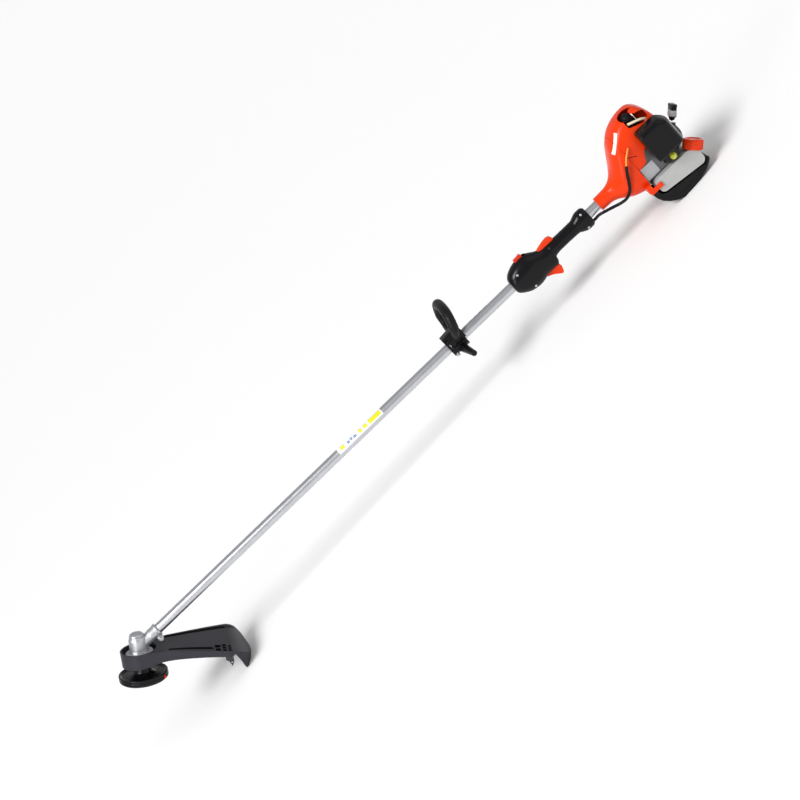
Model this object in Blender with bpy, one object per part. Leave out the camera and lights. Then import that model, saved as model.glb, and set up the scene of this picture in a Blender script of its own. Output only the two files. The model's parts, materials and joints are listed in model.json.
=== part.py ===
"""Petrol string trimmer with a straight shaft, a loop handle and a two-shell throttle handle.

Everything is measured in millimetres in the machine's own frame: +X runs along the shaft from the
line head to the engine, +Z is the side the cylinder stands on, -Y is the operator's left. The frame's
origin is the point where the line head's axis crosses the shaft's axis. One empty turns and lifts the
whole machine until its shield and its tank guard rest on the ground.
"""
import math

import bmesh
import bpy
from mathutils import Matrix, Vector

# Overall layout
MM = 0.001
GAP = 0.3
SHAFT_TO_HEAD = 56.0
TUBE_RADIUS = 12.0
TUBE_BORE = 10.4
TUBE_START = 47.0
TUBE_END = 1512.0
DRIVE_RADIUS = 3.0

# Line head, along its own axis
CASE_TOP = 29.0
CAP_TOP = 37.0
FLANGE_TOP = -10.5
FLANGE_BOTTOM = -14.0
HEAD_RIM_RADIUS = 58.5
HEAD_RIM_TOP = -61.5
HEAD_RIM_BOTTOM = -77.0
EYELET_ANGLE = -38.6
CUP_RADIUS = 45.0
CUP_RIM = -4.0
CUP_FLOOR = -14.3

# Bevel gears
PINION_TEETH = 15
OUTPUT_TEETH = 20
CONE_DISTANCE = 26.0
FACE_WIDTH = 9.0
ADDENDUM = 0.8
DEDENDUM = 1.6

# Handles
LOOP_X = 1026.0
LOOP_LEAN = 20.0
TRIGGER_PIVOT = (1292.0, 0.0, -26.0)
LOCKOUT_PIVOT = (1311.0, 0.0, 18.5)

# Engine
CYLINDER_X = 1656.0
CRANK_THROW = 14.0
BORE_RADIUS = 16.3
ROD_LENGTH = 48.0
STARTER_LEAN = 46.0
STARTER_BASE = (1741.0, 0.0, 22.0)
PULLEY_RADIUS = 25.0
CAP_CENTRE = (1737.5, -34.0, -43.5)
CAP_LEAN = 44.0

# The ground touches the shield's rear lip and the flat foot of the tank guard
GROUND_FRONT = (153.0, -209.3)
GROUND_REAR = (1656.0, -114.5)

SHAFT_DIRECTION = Matrix.Rotation(math.radians(90.0), 4, "Y")
SIDE_DIRECTION = Matrix.Rotation(math.radians(90.0), 4, "X")
HEAD = Matrix.Rotation(math.radians(90.0 - SHAFT_TO_HEAD), 4, "Y")

MATERIALS = {
    "cast_aluminium": ((0.62, 0.63, 0.65), 0.38, 0.9),
    "tube_aluminium": ((0.70, 0.71, 0.74), 0.30, 0.95),
    "steel": ((0.55, 0.55, 0.56), 0.32, 1.0),
    "dark_steel": ((0.16, 0.16, 0.17), 0.45, 0.9),
    "shield_plastic": ((0.055, 0.055, 0.065), 0.5, 0.0),
    "black_plastic": ((0.018, 0.018, 0.02), 0.35, 0.0),
    "soft_grip": ((0.022, 0.022, 0.024), 0.75, 0.0),
    "orange_gloss": ((0.85, 0.085, 0.012), 0.22, 0.0),
    "red_plastic": ((0.80, 0.05, 0.03), 0.35, 0.0),
    "tank_plastic": ((0.72, 0.73, 0.70), 0.40, 0.0),
    "cream_sleeve": ((0.80, 0.74, 0.58), 0.6, 0.0),
    "bulb_plastic": ((0.62, 0.68, 0.12), 0.25, 0.0),
    "nylon": ((0.75, 0.74, 0.70), 0.45, 0.0),
    "foam": ((0.10, 0.10, 0.09), 0.9, 0.0),
    "rubber": ((0.015, 0.015, 0.016), 0.65, 0.0),
}


def ground_height(x):
    """Height of the ground line under the machine, in the machine's frame."""
    slope = (GROUND_REAR[1] - GROUND_FRONT[1]) / (GROUND_REAR[0] - GROUND_FRONT[0])
    return GROUND_FRONT[1] + slope * (x - GROUND_FRONT[0])


def at(x, y, z):
    return Matrix.Translation((x, y, z))


def polar(radius, angle):
    return radius * math.cos(angle), radius * math.sin(angle)


def skin(rings, wrap=False):
    """Join rings of equal count; a ring of one point is a pole. The ends are capped unless wrapped."""
    verts = []
    starts = []
    faces = []
    for ring in rings:
        starts.append(len(verts))
        verts.extend(ring)
    pairs = [(index, index + 1) for index in range(len(rings) - 1)]
    if wrap:
        pairs.append((len(rings) - 1, 0))
    for first, second in pairs:
        count = max(len(rings[first]), len(rings[second]))
        for i in range(count):
            j = (i + 1) % count
            a, b = starts[first], starts[second]
            if len(rings[first]) == 1:
                faces.append((a, b + j, b + i))
            elif len(rings[second]) == 1:
                faces.append((a + i, a + j, b))
            else:
                faces.append((a + i, a + j, b + j, b + i))
    if not wrap:
        for index in (0, -1):
            if len(rings[index]) > 2:
                faces.append([starts[index] + k for k in range(len(rings[index]))])
    return verts, faces


def moved(shape, frame):
    verts, faces = shape
    return [tuple(frame @ Vector(v)) for v in verts], faces


def lathe(profile, sides, frame=Matrix.Identity(4)):
    """Revolve (radius, height) points about local Z. A profile that leaves the axis is a closed ring."""
    rings = []
    for radius, height in profile:
        if radius == 0:
            rings.append([(0.0, 0.0, height)])
        else:
            steps = [2 * math.pi * k / sides for k in range(sides)]
            rings.append([(*polar(radius, step), height) for step in steps])
    return moved(skin(rings, wrap=profile[0][0] != 0), frame)


def rod(start, end, radius, sides=12, end_radius=None):
    """A straight round bar between two points."""
    start, end = Vector(start), Vector(end)
    frame = (end - start).to_track_quat("Z", "Y").to_matrix().to_4x4()
    frame.translation = start
    far = radius if end_radius is None else end_radius
    length = (end - start).length
    return lathe([(0, 0), (radius, 0), (far, length), (0, length)], sides, frame)


def prism(outline, low, high, frame=Matrix.Identity(4)):
    """Extrude a flat outline from one height to another along local Z."""
    return moved(skin([[(x, y, low) for x, y in outline], [(x, y, high) for x, y in outline]]), frame)


def side_prism(outline, left, right):
    """Extrude an (x, z) outline across the machine from y = left to y = right."""
    return skin([[(x, left, z) for x, z in outline], [(x, right, z) for x, z in outline]])


def box(low, high):
    return side_prism([(low[0], low[2]), (high[0], low[2]), (high[0], high[2]), (low[0], high[2])], low[1],
                      high[1])


def oval(x, top, bottom, half_width, count=20, power=2.4, centre=0.0):
    """A rounded section across the shaft, squarer as the power grows."""
    ring = []
    middle, half = (top + bottom) / 2, (top - bottom) / 2
    for k in range(count):
        angle = 2 * math.pi * (k + 0.5) / count
        c, s = math.cos(angle), math.sin(angle)
        y = math.copysign(abs(c) ** (2 / power), c) * half_width
        z = math.copysign(abs(s) ** (2 / power), s) * half
        ring.append((x, centre + y, middle + z))
    return ring


def sweep(points, radii, sides=10, closed=False):
    """A round bar along a run of points, its frame carried along without twist."""
    points = [Vector(p) for p in points]
    count = len(points)
    normal = None
    rings = []
    for index, point in enumerate(points):
        before = points[index - 1] if index or closed else point
        after = points[(index + 1) % count] if index < count - 1 or closed else point
        tangent = (after - before).normalized()
        if normal is None:
            normal = tangent.orthogonal().normalized()
        normal = (normal - tangent * normal.dot(tangent)).normalized()
        other = tangent.cross(normal)
        ring = []
        for k in range(sides):
            a, b = polar(radii[index], 2 * math.pi * k / sides)
            ring.append(tuple(point + normal * a + other * b))
        rings.append(ring)
    return skin(rings, wrap=closed)


def smooth_path(points, steps):
    """Catmull-Rom points through the given ones."""
    points = [Vector(p) for p in points]
    padded = [points[0] * 2 - points[1]] + points + [points[-1] * 2 - points[-2]]
    path = []
    for i in range(1, len(padded) - 2):
        p0, p1, p2, p3 = padded[i - 1:i + 3]
        for k in range(steps):
            t = k / steps
            path.append(0.5 * (2 * p1 + (p2 - p0) * t + (2 * p0 - 5 * p1 + 4 * p2 - p3) * t * t
                               + (3 * p1 - p0 - 3 * p2 + p3) * t ** 3))
    path.append(points[-1])
    return path


def mesh_from(name, shape, origin):
    """A closed mesh in metres about its origin, its faces turned outward."""
    verts, faces = shape
    mesh = bpy.data.meshes.new(name)
    mesh.from_pydata([tuple((Vector(v) - Vector(origin)) * MM) for v in verts], [], faces)
    shell = bmesh.new()
    shell.from_mesh(mesh)
    bmesh.ops.recalc_face_normals(shell, faces=shell.faces)
    for face in shell.faces:
        face.smooth = True
    for edge in shell.edges:
        edge.smooth = not edge.is_manifold or edge.calc_face_angle() < math.radians(38)
    shell.to_mesh(mesh)
    shell.free()
    return mesh


def piece(name, shape, material, origin=(0.0, 0.0, 0.0), joined=(), cut=()):
    """One solid of the machine: a shape, with others joined to it and others cut from it."""
    node = bpy.data.objects.new(name, mesh_from(name, shape, origin))
    bpy.context.scene.collection.objects.link(node)
    node.parent = machine
    node.location = Vector(origin) * MM
    node.data.materials.append(materials[material])
    steps = [("UNION", tool) for tool in joined] + [("DIFFERENCE", tool) for tool in cut]
    for index, (operation, tool) in enumerate(steps):
        helper = bpy.data.objects.new(f"{name}_tool_{index}",
                                      mesh_from(f"{name}_tool_{index}", tool, origin))
        bpy.context.scene.collection.objects.link(helper)
        helper.parent = machine
        helper.location = Vector(origin) * MM
        helper.hide_render = True
        helper.display_type = "WIRE"
        change = node.modifiers.new(f"step_{index}", "BOOLEAN")
        change.operation = operation
        change.object = helper
        change.solver = "EXACT"
    return node


def tooth_ring(teeth, pitch_angle, distance, scale, phase, frame):
    """One outline of a bevel gear: four points a tooth, at a given share of the cone distance."""
    along = Vector((math.sin(pitch_angle), math.cos(pitch_angle)))
    outward = Vector((math.cos(pitch_angle), -math.sin(pitch_angle)))
    root = (along * distance - outward * DEDENDUM) * scale
    tip = (along * distance + outward * ADDENDUM) * scale
    pitch = 2 * math.pi / teeth
    ring = []
    for k in range(teeth):
        for share, point in ((-0.20, root), (-0.07, tip), (0.07, tip), (0.20, root)):
            x, y = polar(point.x, phase + pitch * (k + share))
            ring.append(tuple(frame @ Vector((x, y, point.y))))
    return ring


def plain_ring(count, radius, height, phase, frame):
    steps = [phase + 2 * math.pi * (k - 0.85) / count for k in range(count)]
    return [tuple(frame @ Vector((*polar(radius, step), height))) for step in steps]


def build_gears():
    """Pinion on the shaft's axis and output gear on the head's, their cones meeting at the frame's origin."""
    ratio = OUTPUT_TEETH / PINION_TEETH
    angle = math.radians(SHAFT_TO_HEAD)
    pinion_angle = math.atan2(math.sin(angle), ratio + math.cos(angle))
    output_angle = angle - pinion_angle
    toe = (CONE_DISTANCE - FACE_WIDTH) / CONE_DISTANCE

    frame = SHAFT_DIRECTION
    count = PINION_TEETH * 4
    phase = math.pi
    rings = [[tuple(frame @ Vector((0, 0, CONE_DISTANCE * toe * math.cos(pinion_angle))))]]
    rings.append(tooth_ring(PINION_TEETH, pinion_angle, CONE_DISTANCE, toe, phase, frame))
    rings.append(tooth_ring(PINION_TEETH, pinion_angle, CONE_DISTANCE, 1.0, phase, frame))
    for radius, height in ((5.0, 27.0), (5.0, TUBE_START - 1.0), (3.3, TUBE_START - 1.0), (3.3, 33.0)):
        rings.append(plain_ring(count, radius, height, phase, frame))
    rings.append([tuple(frame @ Vector((0, 0, 33.0)))])
    piece("pinion_gear", skin(rings), "steel")

    frame = HEAD
    count = OUTPUT_TEETH * 4
    phase = math.pi / OUTPUT_TEETH
    back = CONE_DISTANCE * math.cos(output_angle) + 1.8
    front = CONE_DISTANCE * toe * math.cos(output_angle) + 1.2
    rings = [plain_ring(count, 4.3, front, phase, frame)]
    rings.append(tooth_ring(OUTPUT_TEETH, output_angle, CONE_DISTANCE, toe, phase, frame))
    rings.append(tooth_ring(OUTPUT_TEETH, output_angle, CONE_DISTANCE, 1.0, phase, frame))
    rings.append(plain_ring(count, 11.0, back, phase, frame))
    rings.append(plain_ring(count, 4.3, back, phase, frame))
    piece("output_gear", skin(rings, wrap=True), "steel")


def build_gear_case():
    body = lathe([(0, FLANGE_BOTTOM), (33, FLANGE_BOTTOM), (33, FLANGE_TOP), (22.6, FLANGE_TOP + 0.1),
                  (21.5, -4),
                  (20.5, 20), (18.6, 25), (18.2, CASE_TOP), (0, CASE_TOP)], 24, HEAD)
    socket = lathe([(0, 6), (13.6, 6), (13.6, 36), (15, 40), (15, 57), (16.5, 58), (16.5, 63), (0, 63)],
                   24, SHAFT_DIRECTION)
    boss = rod((53, -12.5, -19.5), (53, 12.5, -19.5), 6.6, 14)
    web = box((47, -9, -20), (59, 9, -8))
    cavity = lathe([(0, -6), (16.4, -6), (16.4, 18), (15.3, 22), (15.3, 33), (0, 33)], 20, HEAD)
    shaft_bore = lathe([(0, -20), (7.3, -20), (7.3, 0), (0, 0)], 16, HEAD)
    tube_bore = lathe([(0, 8), (12.35, 8), (12.35, 70), (0, 70)], 23, SHAFT_DIRECTION)
    bolt_hole = rod((53.1, -20, -19.36), (53.1, 20, -19.36), 2.9, 11)
    slit = box((45, -1, -30), (66, 1, -5))
    screws = [rod(HEAD @ Vector((3, y, -20)), HEAD @ Vector((3, y, -5)), 2.6, 10) for y in (-27.8, 27.8)]
    piece("gear_case", body, "cast_aluminium", joined=[socket, web, boss],
          cut=[cavity, shaft_bore, tube_bore, bolt_hole, slit] + screws)
    piece("gear_case_cap", lathe([(0, CAP_TOP), (11, CAP_TOP - 0.5), (15.5, CAP_TOP - 2.2),
                                  (17.8, CAP_TOP - 5),
                                  (18.2, CASE_TOP + GAP), (4.3, CASE_TOP + GAP), (4.3, 33), (0, 33)],
                                 24, HEAD), "cast_aluminium")
    bolt = lathe([(0, -16.5), (4.2, -16.5), (4.2, -12.8), (2.5, -12.8), (2.5, 12), (0, 12)], 12,
                 at(53, 0, -19.5) @ SIDE_DIRECTION.inverted())
    piece("gear_case_bolt", bolt, "steel")
    build_gears()
    piece("output_shaft", lathe([(0, 32.5), (4, 32.5), (4, -6.5), (7, -6.5), (7, -20.5), (13, -20.5),
                                 (13, -24), (4, -24), (4, -60), (0, -60)], 16, HEAD), "steel")


def shield_stations():
    """Pairs of near and far edge points of the shield, each (reach, width, top, lip)."""
    front = []
    for degrees in (168, 145, 120, 100):
        reach, width = polar(CUP_RADIUS, math.radians(degrees))
        front.append(((reach, -width, CUP_RIM, -40.0), (reach, width, CUP_RIM, -40.0)))
    rear = [
        ((12, -45.5, CUP_RIM, -38), (12, 45.5, CUP_RIM, -39)),
        ((35, -46.5, -4.5, -33), (35, 47, -3, -34)),
        ((65, -50, -7, -30.5), (65, 51, -3.5, -34)),
        ((110, -57, -14, -33), (110, 60, -7.5, -36)),
        ((160, -64, -24, -39), (160, 72, -13.5, -42)),
        ((204, -70, -33, -45.5), (205, 84, -20, -50)),
        ((214, -66, -36, -43), (223, 87, -23.5, -60)),
        ((226, -56, -42, -63), (237, 84, -31, -72)),
        ((240, -42, -52, None), (247, 73, -43, -76)),
        ((252, -20, -62, None), (254.5, 55, -55, -77)),
        ((259, 4, -67.5, None), (259.5, 30, -64, None)),
    ]
    stations = front + rear
    grounded = []
    for pair in stations:
        fixed = []
        for reach, width, top, lip in pair:
            if lip is None:
                # Height on the head's axis at which this reach meets the ground line
                lean = math.radians(SHAFT_TO_HEAD)
                lip = top
                for _ in range(20):
                    x = reach * math.sin(lean) + lip * math.cos(lean)
                    lip = (ground_height(x) + reach * math.cos(lean)) / math.sin(lean)
            fixed.append((reach, width, top, lip))
        grounded.append(fixed)
    return grounded


def shell_from_stations(stations, wall):
    """A lid with a skirt round its whole edge: outer skin, inner skin and the lip that joins them."""
    near = [pair[0] for pair in stations]
    far = [pair[1] for pair in stations]
    loop = near + far[::-1]
    count = len(loop)
    half = len(near)
    inner = []
    for k in range(count):
        before, here, after = (Vector(loop[(k + d) % count][:2]) for d in (-1, 0, 1))
        run = (after - before).normalized()
        inward = Vector((-run.y, run.x))
        inner.append(here + inward * wall)
    verts = []
    verts += [(p[0], p[1], p[2]) for p in loop]
    verts += [(p[0], p[1], p[3]) for p in loop]
    verts += [(q.x, q.y, p[2] - wall) for p, q in zip(loop, inner)]
    verts += [(q.x, q.y, p[3]) for p, q in zip(loop, inner)]
    faces = []
    for k in range(count):
        j = (k + 1) % count
        faces.append((k, j, count + j, count + k))
        faces.append((2 * count + k, 2 * count + j, 3 * count + j, 3 * count + k))
        faces.append((count + k, count + j, 3 * count + j, 3 * count + k))
    for base in (0, 2 * count):
        for k in range(half - 1):
            faces.append((base + k, base + k + 1, base + count - 2 - k, base + count - 1 - k))
    return moved((verts, faces), HEAD)


def build_shield():
    shell = shell_from_stations(shield_stations(), 2.6)
    cup_floor = lathe([(0, CUP_FLOOR - 2.7), (43.3, CUP_FLOOR - 2.7), (43.3, CUP_FLOOR + 1),
                       (0, CUP_FLOOR + 1)],
                      30, HEAD)
    cup_room = lathe([(0, CUP_FLOOR), (40.6, CUP_FLOOR), (40.6, 10), (0, 10)], 31, HEAD)
    hub_hole = rod(HEAD @ Vector((0, 0, -30)), HEAD @ Vector((0, 0, -8)), 16, 20)
    screws = [rod(HEAD @ Vector((3, y, -30)), HEAD @ Vector((3, y, -5)), 2.6, 10) for y in (-27.8, 27.8)]
    piece("shield", shell, "shield_plastic", joined=[cup_floor], cut=[cup_room, hub_hole] + screws)
    for side, y in (("left", -27.8), ("right", 27.8)):
        screw = lathe([(0, -7.2), (4, -7.2), (4.6, -8.4), (4.6, -10.2), (2.3, -10.2), (2.3, -19.5),
                       (0, -19.5)],
                      8, HEAD @ at(3, y, 0))
        piece(f"shield_screw_{side}", screw, "steel")
    blade = side_prism([(190, -41), (207, -41), (209, -58), (203, -71), (197, -58), (190, -53)], -64.9,
                       -63.2)
    hole = rod((203, -70, -61), (203, -60, -61), 1.8, 8)
    piece("line_cutter_blade", moved(blade, HEAD), "steel", cut=[moved(hole, HEAD)])


def build_line_head():
    housing = lathe([(0, -61), (4.3, -61), (4.3, -24.3), (14, -24.3), (16, -27), (18, -44), (21, -60),
                     (30, -64.5),
                     (50, -66), (54, -62.5), (57, HEAD_RIM_TOP), (HEAD_RIM_RADIUS, -63.5),
                     (HEAD_RIM_RADIUS, HEAD_RIM_BOTTOM + 1), (57.6, HEAD_RIM_BOTTOM), (56, HEAD_RIM_BOTTOM),
                     (56, -68.4), (9, -68.4), (9, -84), (0, -84)], 24, HEAD)
    angle = math.radians(EYELET_ANGLE)
    directions = {"left": angle, "right": angle + math.pi}
    holes = []
    for turn in directions.values():
        frame = HEAD @ Matrix.Rotation(turn, 4, "Z") @ at(0, 0, -71.5) @ SHAFT_DIRECTION
        holes.append(lathe([(0, 50), (4.3, 50), (4.3, 66), (0, 66)], 12, frame))
        side = "left" if turn < 0 else "right"
        piece(f"line_eyelet_{side}", lathe([(1.5, 54.6), (4, 54.6), (4, 59.4), (3.2, 60.2), (1.5, 60.2)],
                                           8, frame), "red_plastic")
    piece("line_head_housing", housing, "black_plastic", cut=holes)
    piece("line_head_cover", lathe([(24, -78.6), (24, -81), (52, -80.8), (55.4, -78.6)], 24, HEAD),
          "black_plastic")
    piece("line_spool", lathe([(9.4, -69.2), (48, -69.2), (48, -70.4), (16, -70.4), (16, -76.6),
                               (48, -76.6),
                               (48, -77.8), (9.4, -77.8)], 16, HEAD), "nylon")
    piece("wound_line", lathe([(16.4, -70.8), (42, -70.8), (44, -71.8), (44, -75.2), (42, -76.2),
                               (16.4, -76.2)],
                              16, HEAD), "red_plastic")
    knob = lathe([(0, -94.5), (14, -94), (20, -91.5), (22.4, -87.5), (22.4, -82.6), (19.6, -82.6),
                  (19.6, -91), (0, -91)], 20, HEAD)
    piece("bump_knob", knob, "black_plastic")
    turns, steps = 2, 8
    coil = []
    for k in range(turns * steps + 1):
        x, y = polar(13.0, 2 * math.pi * k / steps)
        coil.append(HEAD @ Vector((x, y, -86.0 + 6.8 * k / (turns * steps))))
    piece("knob_spring", sweep(coil, [0.7] * len(coil), 5), "steel")


def build_shaft():
    piece("main_tube", lathe([(TUBE_BORE, TUBE_START), (TUBE_RADIUS, TUBE_START), (TUBE_RADIUS, TUBE_END),
                              (TUBE_BORE, TUBE_END)], 28, SHAFT_DIRECTION), "tube_aluminium")
    piece("drive_shaft", lathe([(0, 33.5), (DRIVE_RADIUS, 33.5), (DRIVE_RADIUS, 1556), (0, 1556)], 12,
                               SHAFT_DIRECTION), "steel")
    profile = [(3.4, 60.0), (4.8, 60.0)]
    for x in (280, 780, 1280):
        profile += [(4.8, x - 8), (10.1, x - 6), (10.1, x + 6), (4.8, x + 8)]
    profile += [(4.8, 1500.0), (3.4, 1500.0)]
    piece("shaft_liner", lathe(profile, 10, SHAFT_DIRECTION), "nylon")


def build_loop_handle():
    lean = at(LOOP_X, 0, 0) @ Matrix.Rotation(math.radians(LOOP_LEAN), 4, "Y")
    half = [(0, 25), (20, 25), (42, 27), (57, 36), (63, 50), (61, 67), (53, 81), (38, 90), (18, 94)]
    outline = half + [(0, 94.5)] + [(-y, z) for y, z in half[:0:-1]]
    path = [lean @ Vector((0, y, z)) for y, z in outline]
    radii = [12.0 if z > 55 else 9.0 if z > 30 else 7.6 for y, z in outline]
    piece("loop_handle", sweep(path, radii, 10, closed=True), "soft_grip")
    bar = moved(rod((0, -40, 25), (0, 40, 25), 8.4, 14), lean)
    tube = rod((LOOP_X - 50, 0, 0), (LOOP_X + 50, 0, 0), TUBE_RADIUS + GAP, 24)
    bolt_frame = at(LOOP_X - 15, -18, 0)
    hole = lathe([(0, -40), (2.8, -40), (2.8, 60), (0, 60)], 10, bolt_frame)
    upper = skin([
        [(LOOP_X - 22, y, z) for y, z in ((-23, 0.3), (23, 0.3), (23, 16), (14, 30), (-14, 30), (-23, 16))],
        [(LOOP_X + 28, y, z) for y, z in ((-23, 0.3), (23, 0.3), (23, 20), (14, 35), (-14, 35), (-23, 20))],
    ])
    piece("loop_bracket_upper", upper, "black_plastic", cut=[tube, bar, hole])
    lower = skin([[(x, y, z) for y, z in ((-23, -0.3), (23, -0.3), (22, -14), (12, -22), (-12, -22),
                                          (-22, -14))]
                  for x in (LOOP_X - 22, LOOP_X + 24)])
    stub = rod((LOOP_X + 3, -14, -12.8), (LOOP_X + 13, -76, -25), 11.5, 12, 5.0)
    clear = lathe([(0, -60), (5, -60), (5, -20), (0, -20)], 12, bolt_frame)
    piece("loop_bracket_lower", lower, "black_plastic", joined=[stub], cut=[tube, hole, clear])
    bolt = lathe([(0, -24), (4.4, -24), (4.4, -20.3), (2.5, -20.3), (2.5, 20), (0, 20)], 12, bolt_frame)
    piece("loop_bolt", bolt, "steel")


GRIP_SECTIONS = [
    (1210, 15.5, -17, 16), (1214, 23, -23, 21), (1224, 31, -31, 26), (1240, 38, -39.5, 28.5),
                 (1262, 42.5, -43, 29),
    (1278, 41, -41, 27.5), (1290, 34, -38, 23.5), (1302, 26, -37, 19.5), (1314, 20.5, -37.5, 17.5),
    (1325, 19, -37.5, 17), (1331, 18, -30, 16.8), (1340, 17.6, -17, 16.8), (1404, 17, -17, 17),
                 (1416, 19, -21, 18),
    (1430, 24.5, -27.5, 20.5), (1446, 24.5, -28, 20.5), (1453, 20, -24, 18),
]


def grip_side(x, z):
    """Distance from the mid-plane to the handle's outer face, at a place along it and a height."""
    for before, after in zip(GRIP_SECTIONS, GRIP_SECTIONS[1:]):
        if before[0] <= x <= after[0]:
            share = (x - before[0]) / (after[0] - before[0])
            top, bottom, width = (before[k] + (after[k] - before[k]) * share for k in (1, 2, 3))
            level = (2 * z - top - bottom) / (top - bottom)
            return GAP / 2 + width * math.sin(math.acos(level)) ** 0.85
    raise ValueError("outside the handle")


def half_section(x, top, bottom, half_width, side, count=9):
    ring = []
    middle, half = (top + bottom) / 2, (top - bottom) / 2
    for k in range(count):
        angle = math.pi * k / (count - 1)
        bulge = math.sin(angle) ** 0.85
        ring.append((x, side * (GAP / 2 + half_width * bulge), middle + half * math.cos(angle)))
    return ring


def build_throttle_handle():
    hollow_sections = [oval(x, top - 2.6, bottom + 2.6, width - 2.6, 16, 2.1)
                       for x, top, bottom, width in GRIP_SECTIONS[1:-1]]
    hollow = skin(hollow_sections)
    tube = rod((1190, 0, 0), (1470, 0, 0), TUBE_RADIUS + GAP, 24)
    trigger_slot = box((1280.5, -7, -70), (1337, 7, -13))
    lockout_slot = box((1306, -6.5, 13), (1356, 6.5, 40))
    switch_slot = box((1250, -7.5, 33), (1282, 7.5, 60))
    screws = {}
    for name, x, z in (("front_upper", 1235.6, 20.3), ("front_lower", 1251, -31),
                       ("rear_upper", 1438, 16.5),
                       ("rear_lower", 1433, -19.3)):
        screws[name] = (x, z, grip_side(x, z) - 0.4)
    cable_hole = rod((1444, -7, -18.2), (1470, -7, -18.2), 4.4, 12)
    for name, side in (("left", -1), ("right", 1)):
        outer = skin([half_section(*section, side) for section in GRIP_SECTIONS])
        drills = []
        for x, z, reach in screws.values():
            drills.append(rod((x, -40, z), (x, 12, z), 1.9, 9))
            if side < 0:
                drills.append(rod((x, -40, z), (x, -reach + 1, z), 3.6, 12))
        if side < 0:
            drills.append(cable_hole)
        piece(f"grip_half_{name}", outer, "black_plastic",
              cut=[hollow, tube, trigger_slot, lockout_slot, switch_slot] + drills)
    for name, (x, z, reach) in screws.items():
        head = lathe([(0, -reach - 0.6), (2.4, -reach - 0.6), (3.2, -reach), (3.2, -reach + 0.7),
                      (1.6, -reach + 0.7), (1.6, 11.5), (0, 11.5)], 8,
                     at(x, 0, z) @ SIDE_DIRECTION.inverted())
        piece(f"grip_screw_{name}", head, "steel")
    trigger = [(1284, -24), (1290, -20), (1304, -19.6), (1319, -23.5), (1325, -29), (1327.5, -45),
               (1323.5, -57),
               (1319.5, -61.2), (1311, -55.5), (1302, -48), (1293.5, -43.5), (1287, -41.5), (1283, -33)]
    piece("throttle_trigger", side_prism(trigger, -6, 6), "orange_gloss", origin=TRIGGER_PIVOT)
    lockout = [(1307.5, 17.5), (1354, 16.6), (1354.5, 22.5), (1351.5, 28.3), (1343, 31), (1330, 29.5),
               (1314, 25.5),
               (1307.5, 23)]
    piece("throttle_lockout", side_prism(lockout, -5.6, 5.6), "orange_gloss", origin=LOCKOUT_PIVOT)
    switch = [(1252, 34), (1274, 34), (1274, 46), (1270, 48.5), (1264, 46), (1258, 46.5), (1252, 44.5)]
    piece("stop_switch", side_prism(switch, -6.8, 6.8), "red_plastic", origin=(1263, 0, 41))
    route = [(1440, -7, -18.2), (1458, -7, -18.2), (1470, -13, -15.5), (1483, -19.5, -16.5),
             (1503, -21.5, -22),
             (1527, -28, -27), (1543, -38, -24), (1557, -47, -13), (1567, -54.5, 5), (1579, -60, 29),
             (1597, -58.5, 52), (1618, -54.2, 68)]
    path = smooth_path(route, 2)
    piece("control_cable", sweep(path, [3.7] * len(path), 7), "rubber")


FAN_SECTIONS = [
    (1485, 17.5, -17.5, 17.5), (1514, 18.2, -18.5, 18.5), (1530, 20.5, -24, 23), (1546, 28, -34, 35),
    (1560, 43, -42, 46), (1576, 68, -48, 51), (1590, 89, -52, 52), (1603, 103, -54, 52),
]
COVER_SECTIONS = [
    (1603.6, 103.5, -44, 50), (1616, 113, -40, 50), (1630, 120, -34, 50), (1648, 125.5, -20, 49),
                  (1668, 128, 10, 47),
    (1687, 126, 28, 45), (1701, 115, 38, 43), (1711, 96, 41, 40), (1717, 74, 48, 36),
]


def build_engine_covers():
    outer = skin([oval(*section) for section in FAN_SECTIONS])
    inner = skin([oval(x, top - 2.6, bottom + 2.6, width - 2.6) for x, top, bottom,
                  width in FAN_SECTIONS[2:]]
                 + [oval(1612, 101, -52, 50)])
    bore = rod((1480, 0, 0), (1540, 0, 0), TUBE_RADIUS + GAP, 24)
    leg = box((1588, -56.8, -57.2), (1624, -53.2, -46))
    knee = box((1586, -56.8, -52), (1600, -38, -34))
    piece("fan_case", outer, "orange_gloss", joined=[knee, leg], cut=[inner, bore])

    outer = skin([oval(x, top, bottom, width, 20, 3.0) for x, top, bottom, width in COVER_SECTIONS])
    rings = [oval(1596, 99, -44, 47.4, 20, 3.0)]
    rings += [oval(x, top - 2.6, min(bottom + 2.6, 20), width - 2.6, 20, 3.0)
              for x, top, bottom, width in COVER_SECTIONS[:-1]]
    inner = skin(rings)
    boot_window = lathe([(0, 15), (18.7, 15), (21.3, 52), (0, 52)], 15, plug_frame())
    lead_window = side_prism([(1651, 97), (1690.4, 82), (1704, 88), (1705.6, 104), (1691, 112.6),
                              (1651, 115)],
                             -61, -23.3)
    muffler_window = box((1627, 35, 11), (1692.5, 71, 93.7))
    floor = side_prism([(1590, -60), (1740, -60), (1740, 40), (1651, 40), (1641, 33), (1628, 9.5),
                        (1590, 4)], -70, 70)
    piece("cylinder_cover", outer, "orange_gloss", cut=[inner, muffler_window, floor, lead_window,
                                                        boot_window])


def plug_frame():
    """The spark plug's own frame: its axis leans to the left and to the rear from the cylinder's head."""
    frame = Vector((10, -22, 32)).to_track_quat("Z", "Y").to_matrix().to_4x4()
    frame.translation = (CYLINDER_X, 0, 84)
    return frame


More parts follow.
